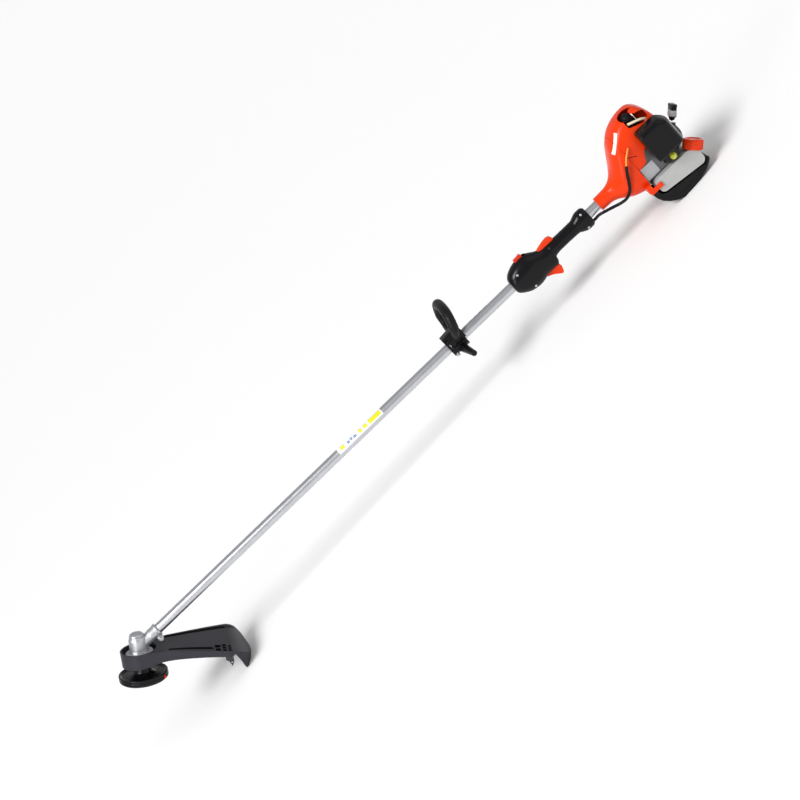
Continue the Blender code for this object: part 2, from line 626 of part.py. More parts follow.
def build_power_unit():
    piece("clutch_drum", lathe([(3.3, 1534), (7, 1534), (7, 1556.5), (27, 1556.5), (27, 1574), (25, 1574),
                                (25, 1559), (3.3, 1559)], 20, SHAFT_DIRECTION), "steel")
    lobes = []
    for k in range(36):
        radius = 15.0 if k % 18 in (0, 1, 17) else 23.6
        lobes.append(polar(radius, 2 * math.pi * k / 36))
    rotor = prism(lobes, 1561, 1573, SHAFT_DIRECTION)
    shaft_hole = rod((1550, 0, 0), (1612, 0, 0), 5.3, 16)
    piece("clutch_rotor", rotor, "dark_steel", cut=[shaft_hole])

    vanes = []
    for k in range(10):
        start = 2 * math.pi * k / 10
        for radius, share in ((16, 0.0), (41, 0.30), (41, 0.57), (16, 0.42)):
            vanes.append(polar(radius, start + 2 * math.pi / 10 * share))
    disc = lathe([(0, 1590), (40, 1590), (40, 1595), (18, 1597), (18, 1601), (0, 1601)], 24,
                 SHAFT_DIRECTION)
    piece("flywheel", disc, "cast_aluminium", joined=[prism(vanes, 1580, 1592, SHAFT_DIRECTION)],
          cut=[shaft_hole])
    web = []
    for k in range(24):
        angle = 2 * math.pi * k / 24
        web.append(polar(19.0 if math.cos(angle) > -0.3 else 15.0, angle))
    piece("crankshaft", lathe([(0, 1559.5), (5, 1559.5), (5, 1612), (8, 1612), (8, 1645), (0, 1645)], 16,
                              SHAFT_DIRECTION), "steel", joined=[prism(web, 1642, 1650, SHAFT_DIRECTION)])

    case = [(1606, -20), (1606, 22), (1622, 30), (1686, 30), (1686, -30), (1676, -35), (1618, -35)]
    chamber = rod((1640, 0, 0), (1700, 0, 0), 22.6, 24)
    journal = rod((1600, 0, 0), (1650, 0, 0), 8.3, 16)
    throat = rod((CYLINDER_X, 0, 0), (CYLINDER_X, 0, 40), BORE_RADIUS + 0.4, 24)
    pad = box((1606.5, -35.5, -33), (1643, -30, 1))
    piece("crankcase", side_prism(case, -33, 33), "cast_aluminium", joined=[pad],
          cut=[journal, chamber, throat])

    profile = [(0, 78), (BORE_RADIUS, 78), (BORE_RADIUS, 30.3), (24, 30.3), (24, 36), (21, 36)]
    for z in (44, 58, 72):
        profile += [(21, z), (29, z + 0.6), (29, z + 3.4), (21, z + 4)]
    profile += [(16, 88), (0, 89)]
    frame = plug_frame()
    plug_hole = lathe([(0, -12), (5.4, -12), (5.4, 30), (0, 30)], 12, frame)
    plug_room = lathe([(0, 1), (9.2, 4.4), (9.2, 40), (0, 40)], 10, frame)
    piece("cylinder", lathe(profile, 16, at(CYLINDER_X, 0, 0)), "cast_aluminium",
          cut=[plug_hole, plug_room])
    piece("spark_plug", lathe([(0, -5), (5, -5), (5, 5), (7.6, 12), (7.6, 17), (4.4, 18), (4.4, 26),
                               (0, 26)],
                              12, frame), "steel")
    boot = lathe([(0, 28), (5.2, 28), (5.2, 21), (10, 21), (12.5, 25), (14, 31), (13.2, 38), (10, 43),
                  (4, 45.5), (0, 45.6)], 16, frame)
    piece("plug_boot", boot, "rubber")
    lead = smooth_path([(1655, -37, 104), (1672, -38, 98), (1688, -37, 91), (1698, -32, 80),
                        (1694, -30, 66)], 3)
    piece("plug_lead", sweep(lead, [3.2] * len(lead), 8), "cream_sleeve")

    piston_top = CRANK_THROW + ROD_LENGTH + 14
    skirt = piston_top - 25
    wrist = CRANK_THROW + ROD_LENGTH
    piston = lathe([(0, piston_top), (16, piston_top), (16, skirt), (12.6, skirt), (12.6, piston_top - 4),
                    (0, piston_top - 4)], 20, at(CYLINDER_X, 0, 0))
    piece("piston", piston, "cast_aluminium", origin=(CYLINDER_X, 0, wrist))
    big_end = lathe([(0, 1650.3), (4.5, 1650.3), (4.5, 1652), (8, 1652), (8, 1660), (4.5, 1660),
                     (4.5, 1664),
                     (0, 1664)], 14, at(0, 0, CRANK_THROW) @ SHAFT_DIRECTION)
    small_end = lathe([(0, 1645.5), (3, 1645.5), (3, 1652), (6, 1652), (6, 1660), (3, 1660), (3, 1666.5),
                       (0, 1666.5)], 14, at(0, 0, wrist) @ SHAFT_DIRECTION)
    beam = box((CYLINDER_X - 2.5, -3.4, CRANK_THROW + 5), (CYLINDER_X + 2.5, 3.4, wrist - 4))
    piece("connecting_rod", big_end, "steel", origin=(CYLINDER_X, 0, wrist), joined=[beam, small_end])

    can = box((1634, 30, 42), (1686, 66, 86))
    stub = rod((1672, 60, 56), (1690, 76, 50), 7, 12)
    node = piece("muffler", can, "dark_steel", joined=[stub])
    soften(node, 4.0)


def soften(node, width):
    edge = node.modifiers.new("softened", "BEVEL")
    edge.width = width * MM
    edge.segments = 2
    edge.limit_method = "ANGLE"
    edge.angle_limit = math.radians(50)


def build_fuel_and_air():
    body = box((1668, -49.8, -32), (1702, -36.2, 19))
    piece("carburettor", body, "dark_steel",
          cut=[rod((1685, -60, 4), (1685, -42, 4), 7, 10), rod((1685, -60, -22), (1685, -44, -22), 9.2,
                                                               14)])
    piece("primer_bulb", lathe([(0, 63.5), (4.5, 62.6), (7.6, 59.2), (8.6, 55), (8.6, 50.2), (0, 50.2)], 14,
                               at(1685, 0, -22) @ SIDE_DIRECTION), "bulb_plastic", origin=(1685, -50, -22))
    lever = [(1660, -26), (1666, -26), (1666, -8), (1663, -2), (1660, -4)]
    piece("choke_lever", side_prism(lever, -48, -44.5), "black_plastic", origin=(1663, -46, -8))

    outline = rounded([(1649, -5), (1731, -5), (1731, 64), (1713, 84), (1649, 84)], 9)
    inside = rounded([(1651.6, -2.4), (1728.4, -2.4), (1728.4, 63), (1711.8, 81.4), (1651.6, 81.4)], 7)
    middle = 40
    outer = skin([[(centre + (x - 1690) * s, y, middle + (z - middle) * s) for x, z in outline]
                  for y, s, centre in ((-51, 1.0, 1690), (-66, 0.985, 1689), (-80, 0.95, 1687),
                                       (-88, 0.90, 1685),
                                       (-92, 0.82, 1683.5), (-93.5, 0.70, 1683))])
    inner = skin([[(centre + (x - 1690) * s, y, middle + (z - middle) * s) for x, z in inside]
                  for y, s, centre in ((-40, 1.0, 1690), (-65, 0.985, 1689), (-78.5, 0.95, 1687),
                                       (-86, 0.90, 1685),
                                       (-89.5, 0.82, 1683.5))])
    piece("air_cleaner_cover", outer, "black_plastic", cut=[inner])
    piece("filter_element", side_prism(rounded([(1660, 24), (1722, 24), (1722, 60), (1711, 74), (1660, 74)],
                                               6),
                                       -80, -52), "foam")

    side = [(1611, -44), (1622, -38), (1716, -38), (1724, -44), (1738, -59), (1738, -80), (1729, -88),
            (1618, -74.5),
            (1611, -68)]
    room = [(1613.6, -45), (1623, -40.6), (1713, -40.6), (1721, -46), (1735.4, -60), (1735.4, -79),
            (1727, -85.2),
            (1619, -71.8), (1613.6, -67)]
    lean = Matrix.Rotation(math.radians(CAP_LEAN), 4, "Y")
    frame = at(*CAP_CENTRE) @ lean
    neck = lathe([(0, -20), (17, -20), (17, -6.3), (0, -6.3)], 16, frame)
    filler = lathe([(0, -30), (14.5, -30), (14.5, 10), (0, 10)], 16, frame)
    tank = piece("fuel_tank", side_prism(side, -52, 52), "tank_plastic", joined=[neck],
                 cut=[side_prism(room, -49.4, 49.4), filler])
    cap = lathe([(0, 15), (20, 15), (23.5, 13.5), (24.5, 11), (24.5, -9.2), (18.2, -9.2), (18.2, -6),
                 (14, -6),
                 (14, -12), (0, -12)], 24, frame)
    piece("fuel_cap", cap, "orange_gloss", origin=CAP_CENTRE)

    foot = [(x, ground_height(x)) for x in (1642, 1674)]
    lower = [(1590, -58.5), (1592, -72), (1599, -86), (1610, -98), (1624, -107.5)] + foot
    lower += [(1694, -110.5), (1716, -104.5), (1733, -97), (1743, -89.5), (1746, -83)]
    upper = [(1741, -80), (1740.4, -83), (1731, -91.4), (1616, -77.6), (1606, -70), (1604, -58.5)]
    pocket = [(1595, -50), (1595, -71), (1601.6, -84), (1612, -95.4), (1625.5, -104.3)]
    pocket += [(x, z + 3) for x, z in foot]
    pocket += [(1693, -107.3), (1714.5, -101.4), (1731, -94.2), (1741, -87), (1741, -70), (1650, -40)]
    piece("tank_guard", side_prism(lower + upper, -55, 55), "black_plastic",
          cut=[side_prism(pocket, -51.8, 51.8)])


def rounded(outline, radius, steps=3):
    """Round the corners of a flat outline with short chords."""
    points = []
    count = len(outline)
    for k in range(count):
        before, here, after = (Vector(outline[(k + d) % count]) for d in (-1, 0, 1))
        start = here + (before - here).normalized() * radius
        end = here + (after - here).normalized() * radius
        for step in range(steps + 1):
            t = step / steps
            points.append(tuple(start * (1 - t) ** 2 + here * 2 * t * (1 - t) + end * t * t))
    return points


def build_starter():
    case = lathe([(0, 1742), (12, 1742), (22, 1736.5), (31, 1724), (35.5, 1708), (35.5, 1687), (32.5, 1687),
                  (32.5, 1707), (28.4, 1722.4), (20.4, 1733.6), (11, 1739), (4, 1739), (4, 1694),
                  (0, 1694)],
                 24, SHAFT_DIRECTION)
    guide = rod((1724, 0, 4), (1739.5, 0, 20), 11.5, 13, 9)
    piece("starter_case", case, "black_plastic", joined=[guide])
    piece("starter_pulley", lathe([(4.4, 1697), (27.5, 1697), (27.5, 1699), (PULLEY_RADIUS, 1700.5),
                                   (PULLEY_RADIUS, 1704.5), (27.5, 1706), (27.5, 1708), (4.4, 1708)],
                                  16, SHAFT_DIRECTION), "nylon")
    lean = at(*STARTER_BASE) @ Matrix.Rotation(math.radians(90 - STARTER_LEAN), 4, "Y")
    grip = prism(rounded([(-7, -17), (7, -17), (7, 17), (-7, 17)], 5), 11, 41, lean)
    rope = lathe([(0, 1.5), (2.2, 1.5), (2.2, 12), (0, 12)], 8, lean)
    collar = lathe([(0, 3.2), (6.0, 3.2), (8.5, 13), (0, 13)], 12, lean)
    piece("starter_grip", grip, "black_plastic", origin=STARTER_BASE, joined=[collar, rope])


def settle():
    """Turn the machine to its resting tilt, then centre its box over the origin and set it on the ground."""
    rise = GROUND_REAR[1] - GROUND_FRONT[1]
    run = GROUND_REAR[0] - GROUND_FRONT[0]
    machine.rotation_euler = (0.0, math.atan2(rise, run), 0.0)
    bpy.context.view_layer.update()
    graph = bpy.context.evaluated_depsgraph_get()
    points = []
    for node in bpy.data.objects:
        if node.type == "MESH" and not node.hide_render:
            solid = node.evaluated_get(graph)
            points += [solid.matrix_world @ v.co for v in solid.data.vertices]
    low = [min(p[axis] for p in points) for axis in range(3)]
    high = [max(p[axis] for p in points) for axis in range(3)]
    machine.location = (-(low[0] + high[0]) / 2, -(low[1] + high[1]) / 2, -low[2])


for old in list(bpy.data.objects):
    bpy.data.objects.remove(old, do_unlink=True)

materials = {}
for label, (colour, roughness, metallic) in MATERIALS.items():
    material = bpy.data.materials.new(label)
    material.use_nodes = True
    shader = material.node_tree.nodes["Principled BSDF"]
    shader.inputs["Base Color"].default_value = (*colour, 1.0)
    shader.inputs["Roughness"].default_value = roughness
    shader.inputs["Metallic"].default_value = metallic
    materials[label] = material

machine = bpy.data.objects.new("machine_frame", None)
bpy.context.scene.collection.objects.link(machine)

build_gear_case()
build_shield()
build_line_head()
build_shaft()
build_loop_handle()
build_throttle_handle()
build_engine_covers()
build_power_unit()
build_fuel_and_air()
build_starter()
settle()
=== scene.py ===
"""The string trimmer's visible surfaces, studio and camera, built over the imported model.

Shapes are measured in millimetres in the machine's own frame: +X runs along the shaft from the line head
to the engine, +Z is the side the cylinder stands on and -Y is the operator's left. MACHINE carries them
into the row frame.
"""

import json
import math

import bmesh
import bpy
from mathutils import Matrix, Vector

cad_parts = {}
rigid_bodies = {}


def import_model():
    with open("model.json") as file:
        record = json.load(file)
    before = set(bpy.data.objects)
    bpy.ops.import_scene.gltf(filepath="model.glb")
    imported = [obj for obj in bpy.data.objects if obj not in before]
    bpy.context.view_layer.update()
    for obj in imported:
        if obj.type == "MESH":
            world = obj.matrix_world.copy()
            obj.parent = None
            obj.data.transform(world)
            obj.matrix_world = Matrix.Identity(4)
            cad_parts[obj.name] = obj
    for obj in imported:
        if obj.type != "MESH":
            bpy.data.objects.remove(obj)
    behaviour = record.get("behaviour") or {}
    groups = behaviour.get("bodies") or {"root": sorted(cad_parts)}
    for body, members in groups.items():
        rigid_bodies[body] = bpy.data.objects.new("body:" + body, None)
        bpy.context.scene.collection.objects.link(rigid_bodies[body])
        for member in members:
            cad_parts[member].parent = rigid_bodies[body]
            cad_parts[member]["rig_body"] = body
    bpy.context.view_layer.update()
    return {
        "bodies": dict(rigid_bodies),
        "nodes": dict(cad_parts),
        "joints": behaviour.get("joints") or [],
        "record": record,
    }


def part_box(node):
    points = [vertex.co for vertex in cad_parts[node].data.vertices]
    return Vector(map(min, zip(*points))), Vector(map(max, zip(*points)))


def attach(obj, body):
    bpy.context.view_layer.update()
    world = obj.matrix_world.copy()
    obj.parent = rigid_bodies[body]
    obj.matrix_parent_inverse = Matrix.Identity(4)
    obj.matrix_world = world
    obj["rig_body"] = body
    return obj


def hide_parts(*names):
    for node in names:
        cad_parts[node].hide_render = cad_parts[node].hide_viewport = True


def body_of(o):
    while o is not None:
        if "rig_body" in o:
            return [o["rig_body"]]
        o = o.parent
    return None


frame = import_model()

# Overall layout
MM = 0.001
GAP = 0.3
WALL = 2.6
SHAFT_TO_HEAD = 56.0
TUBE_RADIUS = 12.0
TUBE_BORE = 10.4
TUBE_START = 47.0
TUBE_END = 1512.0

# Line head, along its own axis
CASE_TOP = 29.0
CAP_TOP = 37.0
FLANGE_TOP = -10.5
FLANGE_BOTTOM = -14.0
HEAD_RIM_RADIUS = 58.5
HEAD_RIM_TOP = -61.5
HEAD_RIM_BOTTOM = -77.0
EYELET_ANGLE = -38.6
CUP_RADIUS = 45.0
CUP_RIM = -4.0
CUP_FLOOR = -14.3

# Handles and engine
LOOP_X = 1026.0
LOOP_LEAN = 20.0
CYLINDER_X = 1656.0
BORE_RADIUS = 16.3
STARTER_LEAN = 46.0
STARTER_BASE = (1741.0, 0.0, 22.0)
CAP_CENTRE = (1737.5, -34.0, -43.5)
CAP_LEAN = 44.0
GROUND_FRONT = (153.0, -209.3)
GROUND_REAR = (1656.0, -114.5)

SHAFT_DIRECTION = Matrix.Rotation(math.radians(90.0), 4, "Y")
SIDE_DIRECTION = Matrix.Rotation(math.radians(90.0), 4, "X")
HEAD = Matrix.Rotation(math.radians(90.0 - SHAFT_TO_HEAD), 4, "Y")

TILT = math.atan2(GROUND_REAR[1] - GROUND_FRONT[1], GROUND_REAR[0] - GROUND_FRONT[0])


def machine_matrix():
    """The row frame's pose of the machine, from where its tube lies."""
    low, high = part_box("main_tube")
    turn = Matrix.Rotation(TILT, 4, "Y")
    middle = Vector(((TUBE_START + TUBE_END) / 2, 0, 0)) * MM
    return Matrix.Translation((low + high) / 2 - turn @ middle) @ turn


MACHINE = machine_matrix()


def ground_height(x):
    """Height of the ground line under the machine, in the machine's frame."""
    slope = (GROUND_REAR[1] - GROUND_FRONT[1]) / (GROUND_REAR[0] - GROUND_FRONT[0])
    return GROUND_FRONT[1] + slope * (x - GROUND_FRONT[0])


def at(x, y, z):
    return Matrix.Translation((x, y, z))


def polar(radius, angle):
    return radius * math.cos(angle), radius * math.sin(angle)


def skin(rings, wrap=False):
    """Join rings of equal count; a ring of one point is a pole. The ends are capped unless wrapped."""
    verts = []
    starts = []
    faces = []
    for ring in rings:
        starts.append(len(verts))
        verts.extend(ring)
    pairs = [(index, index + 1) for index in range(len(rings) - 1)]
    if wrap:
        pairs.append((len(rings) - 1, 0))
    for first, second in pairs:
        count = max(len(rings[first]), len(rings[second]))
        for i in range(count):
            j = (i + 1) % count
            a, b = starts[first], starts[second]
            if len(rings[first]) == 1:
                faces.append((a, b + j, b + i))
            elif len(rings[second]) == 1:
                faces.append((a + i, a + j, b))
            else:
                faces.append((a + i, a + j, b + j, b + i))
    if not wrap:
        for index in (0, -1):
            if len(rings[index]) > 2:
                faces.append([starts[index] + k for k in range(len(rings[index]))])
    return verts, faces


def moved(shape, frame):
    verts, faces = shape
    return [tuple(frame @ Vector(v)) for v in verts], faces


def lathe(profile, sides, frame=Matrix.Identity(4)):
    """Revolve (radius, height) points about local Z. A profile that leaves the axis is a closed ring."""
    rings = []
    for radius, height in profile:
        if radius == 0:
            rings.append([(0.0, 0.0, height)])
        else:
            steps = [2 * math.pi * k / sides for k in range(sides)]
            rings.append([(*polar(radius, step), height) for step in steps])
    return moved(skin(rings, wrap=profile[0][0] != 0), frame)


def peg(radius, low, high, sides, frame):
    """A straight round bar along local Z, from one height to another."""
    return lathe([(0, low), (radius, low), (radius, high), (0, high)], sides, frame)


def rod(start, end, radius, sides=12, end_radius=None):
    """A straight round bar between two points."""
    start, end = Vector(start), Vector(end)
    frame = (end - start).to_track_quat("Z", "Y").to_matrix().to_4x4()
    frame.translation = start
    far = radius if end_radius is None else end_radius
    length = (end - start).length
    return lathe([(0, 0), (radius, 0), (far, length), (0, length)], sides, frame)


def prism(outline, low, high, frame=Matrix.Identity(4)):
    """Extrude a flat outline from one height to another along local Z."""
    return moved(skin([[(x, y, low) for x, y in outline], [(x, y, high) for x, y in outline]]), frame)


def side_prism(outline, left, right):
    """Extrude an (x, z) outline across the machine from y = left to y = right."""
    return skin([[(x, left, z) for x, z in outline], [(x, right, z) for x, z in outline]])


def box(low, high):
    return side_prism([(low[0], low[2]), (high[0], low[2]), (high[0], high[2]), (low[0], high[2])], low[1],
                      high[1])


def oval(x, top, bottom, half_width, count=20, power=2.4, centre=0.0):
    """A rounded section across the shaft, squarer as the power grows."""
    ring = []
    middle, half = (top + bottom) / 2, (top - bottom) / 2
    for k in range(count):
        angle = 2 * math.pi * (k + 0.5) / count
        c, s = math.cos(angle), math.sin(angle)
        y = math.copysign(abs(c) ** (2 / power), c) * half_width
        z = math.copysign(abs(s) ** (2 / power), s) * half
        ring.append((x, centre + y, middle + z))
    return ring


def sweep(points, radii, sides=10, closed=False):
    """A round bar along a run of points, its frame carried along without twist."""
    points = [Vector(p) for p in points]
    count = len(points)
    normal = None
    rings = []
    for index, point in enumerate(points):
        before = points[index - 1] if index or closed else point
        after = points[(index + 1) % count] if index < count - 1 or closed else point
        tangent = (after - before).normalized()
        if normal is None:
            normal = tangent.orthogonal().normalized()
        normal = (normal - tangent * normal.dot(tangent)).normalized()
        other = tangent.cross(normal)
        ring = []
        for k in range(sides):
            a, b = polar(radii[index], 2 * math.pi * k / sides)
            ring.append(tuple(point + normal * a + other * b))
        rings.append(ring)
    return skin(rings, wrap=closed)


def curve_rows(rows, steps, before, after):
    """Catmull-Rom rows through rows of numbers, with a row before the first and one after the last."""
    padded = [before, *rows, after]
    result = []
    for i in range(1, len(padded) - 2):
        for k in range(steps):
            t = k / steps
            row = []
            for a, b, c, d in zip(*padded[i - 1:i + 3]):
                row.append(0.5 * (2 * b + (c - a) * t + (2 * a - 5 * b + 4 * c - d) * t * t
                                  + (3 * b - a - 3 * c + d) * t ** 3))
            result.append(tuple(row))
    result.append(tuple(rows[-1]))
    return result


def refine(rows, steps):
    return curve_rows(rows, steps, rows[0], rows[-1])


def smooth_path(points, steps):
    """A smooth run through points, straight on at both ends."""
    points = [Vector(p) for p in points]
    ends = points[0] * 2 - points[1], points[-1] * 2 - points[-2]
    return [Vector(p) for p in curve_rows(points, steps, *ends)]


def bend(start, here, end, steps):
    """Points of the arc from start to end that leans toward a corner."""
    shares = [step / steps for step in range(steps + 1)]
    return [tuple(start * (1 - t) ** 2 + here * 2 * t * (1 - t) + end * t * t) for t in shares]


def rounded(outline, radius, steps=3):
    """Round the corners of a flat outline with short chords."""
    points = []
    count = len(outline)
    for k in range(count):
        before, here, after = (Vector(outline[(k + d) % count]) for d in (-1, 0, 1))
        start = here + (before - here).normalized() * radius
        end = here + (after - here).normalized() * radius
        points += bend(start, here, end, steps)
    return points


# Stations along the throttle handle: x, top, bottom and half width
GRIP_SECTIONS = [
    (1210, 15.5, -17, 16), (1214, 23, -23, 21), (1224, 31, -31, 26), (1240, 38, -39.5, 28.5),
    (1262, 42.5, -43, 29), (1278, 41, -41, 27.5), (1290, 34, -38, 23.5), (1302, 26, -37, 19.5),
    (1314, 20.5, -37.5, 17.5), (1325, 19, -37.5, 17), (1331, 18, -30, 16.8), (1340, 17.6, -17, 16.8),
    (1404, 17, -17, 17), (1416, 19, -21, 18), (1430, 24.5, -27.5, 20.5), (1446, 24.5, -28, 20.5),
    (1453, 20, -24, 18),
]


def grip_side(x, z):
    """Distance from the mid-plane to the handle's outer face, at a place along it and a height."""
    for before, after in zip(GRIP_SECTIONS, GRIP_SECTIONS[1:]):
        if before[0] <= x <= after[0]:
            share = (x - before[0]) / (after[0] - before[0])
            top, bottom, width = (before[k] + (after[k] - before[k]) * share for k in (1, 2, 3))
            level = (2 * z - top - bottom) / (top - bottom)
            return GAP / 2 + width * math.sin(math.acos(level)) ** 0.85
    raise ValueError("outside the handle")


def plug_frame():
    """The spark plug's own frame: its axis leans to the left and to the rear from the cylinder's head."""
    frame = Vector((10, -22, 32)).to_track_quat("Z", "Y").to_matrix().to_4x4()
    frame.translation = (CYLINDER_X, 0, 84)
    return frame


def shield_stations():
    """Pairs of near and far edge points of the shield behind its cup, each (reach, width, top, lip)."""
    stations = [
        ((12, -45.5, CUP_RIM, -38), (12, 45.5, CUP_RIM, -39)),
        ((35, -46.5, -4.5, -33), (35, 47, -3, -34)),
        ((65, -50, -7, -30.5), (65, 51, -3.5, -34)),
        ((110, -57, -14, -33), (110, 60, -7.5, -36)),
        ((160, -64, -24, -39), (160, 72, -13.5, -42)),
        ((204, -70, -33, -45.5), (205, 84, -20, -50)),
        ((214, -66, -36, -43), (223, 87, -23.5, -60)),
        ((226, -56, -42, -63), (237, 84, -31, -72)),
        ((240, -42, -52, None), (247, 73, -43, -76)),
        ((252, -20, -62, None), (254.5, 55, -55, -77)),
        ((259, 4, -67.5, None), (259.5, 30, -64, None)),
    ]
    grounded = []
    for pair in stations:
        fixed = []
        for reach, width, top, lip in pair:
            if lip is None:
                # Height on the head's axis at which this reach meets the ground line
                lean = math.radians(SHAFT_TO_HEAD)
                lip = top
                for _ in range(20):
                    x = reach * math.sin(lean) + lip * math.cos(lean)
                    lip = (ground_height(x) + reach * math.cos(lean)) / math.sin(lean)
            fixed.append((reach, width, top, lip))
        grounded.append(fixed)
    return grounded


def fillet(profile, radius, steps=3):
    """Round the inner corners of an open run of points, never past half a side."""
    points = [tuple(profile[0])]
    for before, here, after in zip(profile, profile[1:], profile[2:]):
        before, here, after = Vector(before), Vector(here), Vector(after)
        reach = min(radius, 0.45 * (before - here).length, 0.45 * (after - here).length)
        if reach < 0.02:
            points.append(tuple(here))
            continue
        start = here + (before - here).normalized() * reach
        end = here + (after - here).normalized() * reach
        points += bend(start, here, end, steps)
    points.append(tuple(profile[-1]))
    return points


def closed_fillet(profile, radius, steps=3):
    """The same for a closed ring of points."""
    points = []
    count = len(profile)
    for k in range(count):
        points += fillet([profile[k - 1], profile[k], profile[(k + 1) % count]], radius, steps)[1:-1]
    return points


def turned(profile, frame, radius=0.8, sides=72):
    """A lathe shape with rounded edges; a profile that leaves the axis is a closed ring."""
    if profile[0][0] == 0:
        return lathe(fillet(profile, radius), sides, frame)
    return lathe(closed_fillet(profile, radius), sides, frame)


def add_object(name, data):
    obj = bpy.data.objects.new(name, data)
    bpy.context.scene.collection.objects.link(obj)
    return obj


def link(name, shape):
    """An object in the row frame from a shape in the machine's frame, its faces turned outward."""
    verts, faces = shape
    mesh = bpy.data.meshes.new(name)
    mesh.from_pydata([tuple(MACHINE @ (Vector(v) * MM)) for v in verts], [], faces)
    shell = bmesh.new()
    shell.from_mesh(mesh)
    bmesh.ops.recalc_face_normals(shell, faces=shell.faces)
    shell.to_mesh(mesh)
    shell.free()
    return add_object(name, mesh)


def look(name, shape, slot, joined=(), cut=(), bevel=0.0, angle=35.0, segments=3, voxel=0.0, smoothing=0,
         rides=None):
    """The visible surface of one CAD node, on that node's body, or an added piece on a named body."""
    obj = link("look_" + name, shape)
    helpers = []
    for operation, tools in (("UNION", joined), ("DIFFERENCE", cut)):
        for tool in tools:
            helper = link("tool", tool)
            helpers.append(helper)
            change = obj.modifiers.new("cut", "BOOLEAN")
            change.operation = operation
            change.object = helper
            change.solver = "EXACT"
    if voxel:
        change = obj.modifiers.new("cast", "REMESH")
        change.mode = "VOXEL"
        change.voxel_size = voxel * MM * 1.0
        change = obj.modifiers.new("flow", "SMOOTH")
        change.factor = 0.5
        change.iterations = smoothing
    if obj.modifiers:
        graph = bpy.context.evaluated_depsgraph_get()
        mesh = bpy.data.meshes.new_from_object(obj.evaluated_get(graph))
        obj.modifiers.clear()
        obj.data = mesh
        for helper in helpers:
            bpy.data.objects.remove(helper, do_unlink=True)
    obj.data.shade_smooth()
    if not voxel:
        obj.data.set_sharp_from_angle(angle=math.radians(angle))
    if bevel:
        edge = obj.modifiers.new("edges", "BEVEL")
        edge.width = bevel * MM
        edge.segments = segments
        edge.limit_method = "ANGLE"
        edge.angle_limit = math.radians(angle)
        edge.harden_normals = True
    obj.data.materials.clear()
    obj.data.materials.append(materials[slot])
    if rides is None:
        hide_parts(name)
        rides = body_of(frame["nodes"][name])[0]
    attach(obj, rides)
    return obj


# Looks: colour, roughness, metallic, grain size per metre, bump depth, coat
LOOKS = {
    "cast_aluminium": ((0.50, 0.51, 0.53), 0.42, 0.85, 900, 0.10, 0.0),
    "tube_aluminium": ((0.58, 0.59, 0.62), 0.30, 0.95, 500, 0.02, 0.0),
    "steel": ((0.60, 0.60, 0.61), 0.30, 1.0, 1200, 0.04, 0.0),
    "dark_steel": ((0.035, 0.033, 0.030), 0.42, 0.6, 900, 0.08, 0.0),
    "shield_plastic": ((0.030, 0.030, 0.038), 0.42, 0.0, 1500, 0.06, 0.0),
    "black_plastic": ((0.0045, 0.0045, 0.0055), 0.22, 0.0, 1300, 0.03, 0.0),
    "soft_grip": ((0.006, 0.006, 0.007), 0.45, 0.0, 1100, 0.16, 0.0),
    "orange_gloss": ((0.80, 0.042, 0.002), 0.24, 0.0, 700, 0.015, 0.0),
    "red_plastic": ((0.78, 0.030, 0.006), 0.32, 0.0, 900, 0.03, 0.0),
    "tank_plastic": ((0.46, 0.47, 0.46), 0.42, 0.0, 800, 0.03, 0.0),
    "cream_sleeve": ((0.80, 0.74, 0.56), 0.60, 0.0, 1600, 0.20, 0.0),
    "bulb_plastic": ((0.66, 0.70, 0.06), 0.22, 0.0, 900, 0.02, 0.3),
    "nylon": ((0.75, 0.74, 0.70), 0.45, 0.0, 900, 0.04, 0.0),
    "foam": ((0.10, 0.10, 0.09), 0.90, 0.0, 1800, 0.50, 0.0),
    "rubber": ((0.005, 0.005, 0.006), 0.40, 0.0, 1200, 0.08, 0.0),
    "blade_steel": ((0.05, 0.05, 0.055), 0.38, 0.6, 900, 0.04, 0.0),
    "dark_casting": ((0.16, 0.16, 0.165), 0.45, 0.7, 900, 0.12, 0.0),
    # Painted shade for the shield's slots and pockets, far darker than the shield's plastic
    "slot_black": ((0.003, 0.003, 0.004), 0.6, 0.0, 1300, 0.05, 0.0),
    "orange_case": ((0.80, 0.042, 0.002), 0.24, 0.0, 700, 0.015, 0.0),
    "label_white": ((0.86, 0.87, 0.88), 0.35, 0.0, 900, 0.02, 0.2),
    "label_yellow": ((0.74, 0.72, 0.03), 0.35, 0.0, 900, 0.02, 0.2),
    "label_blue": ((0.24, 0.32, 0.50), 0.35, 0.0, 900, 0.02, 0.2),
    "label_dark": ((0.05, 0.05, 0.05), 0.45, 0.0, 900, 0.02, 0.0),
    # Gold of the cable's inner wire, partly a painted glint along it
    "cable_gold": ((0.80, 0.36, 0.06), 0.35, 0.0, 900, 0.03, 0.3),
    "pale_rubber": ((0.30, 0.30, 0.31), 0.40, 0.0, 900, 0.05, 0.1),
}
# Light carried inside the translucent plastics: its weight, and its reach in metres
GLOW = {"tank_plastic": (0.35, (0.012, 0.012, 0.012)), "bulb_plastic": (0.4, (0.004, 0.004, 0.002))}
# Share of its roughness and colour that a surface drifts between
GLOSS_DRIFT = (0.82, 1.22)
TONE_DRIFT = (0.90, 1.08)
# The plain strip on the case's left face, in the machine's frame
STRIP_CENTRE = (1604.0, -60.0, 91.2)
STRIP_RISE = 42.9
STRIP_HALF_SIZE = (25.0, 34.0, 2.9)
STRIP_COLOUR = (0.80, 0.78, 0.76, 1.0)


def feed(tree, source, target, socket=0):
    """Link a node's first output to an input of another."""
    tree.links.new(source.outputs[0], target.inputs[socket])


def fill(node, **values):
    """Set a node's unlinked inputs by name, an underscore for each space."""
    for key, value in values.items():
        node.inputs[key.replace("_", " ")].default_value = value


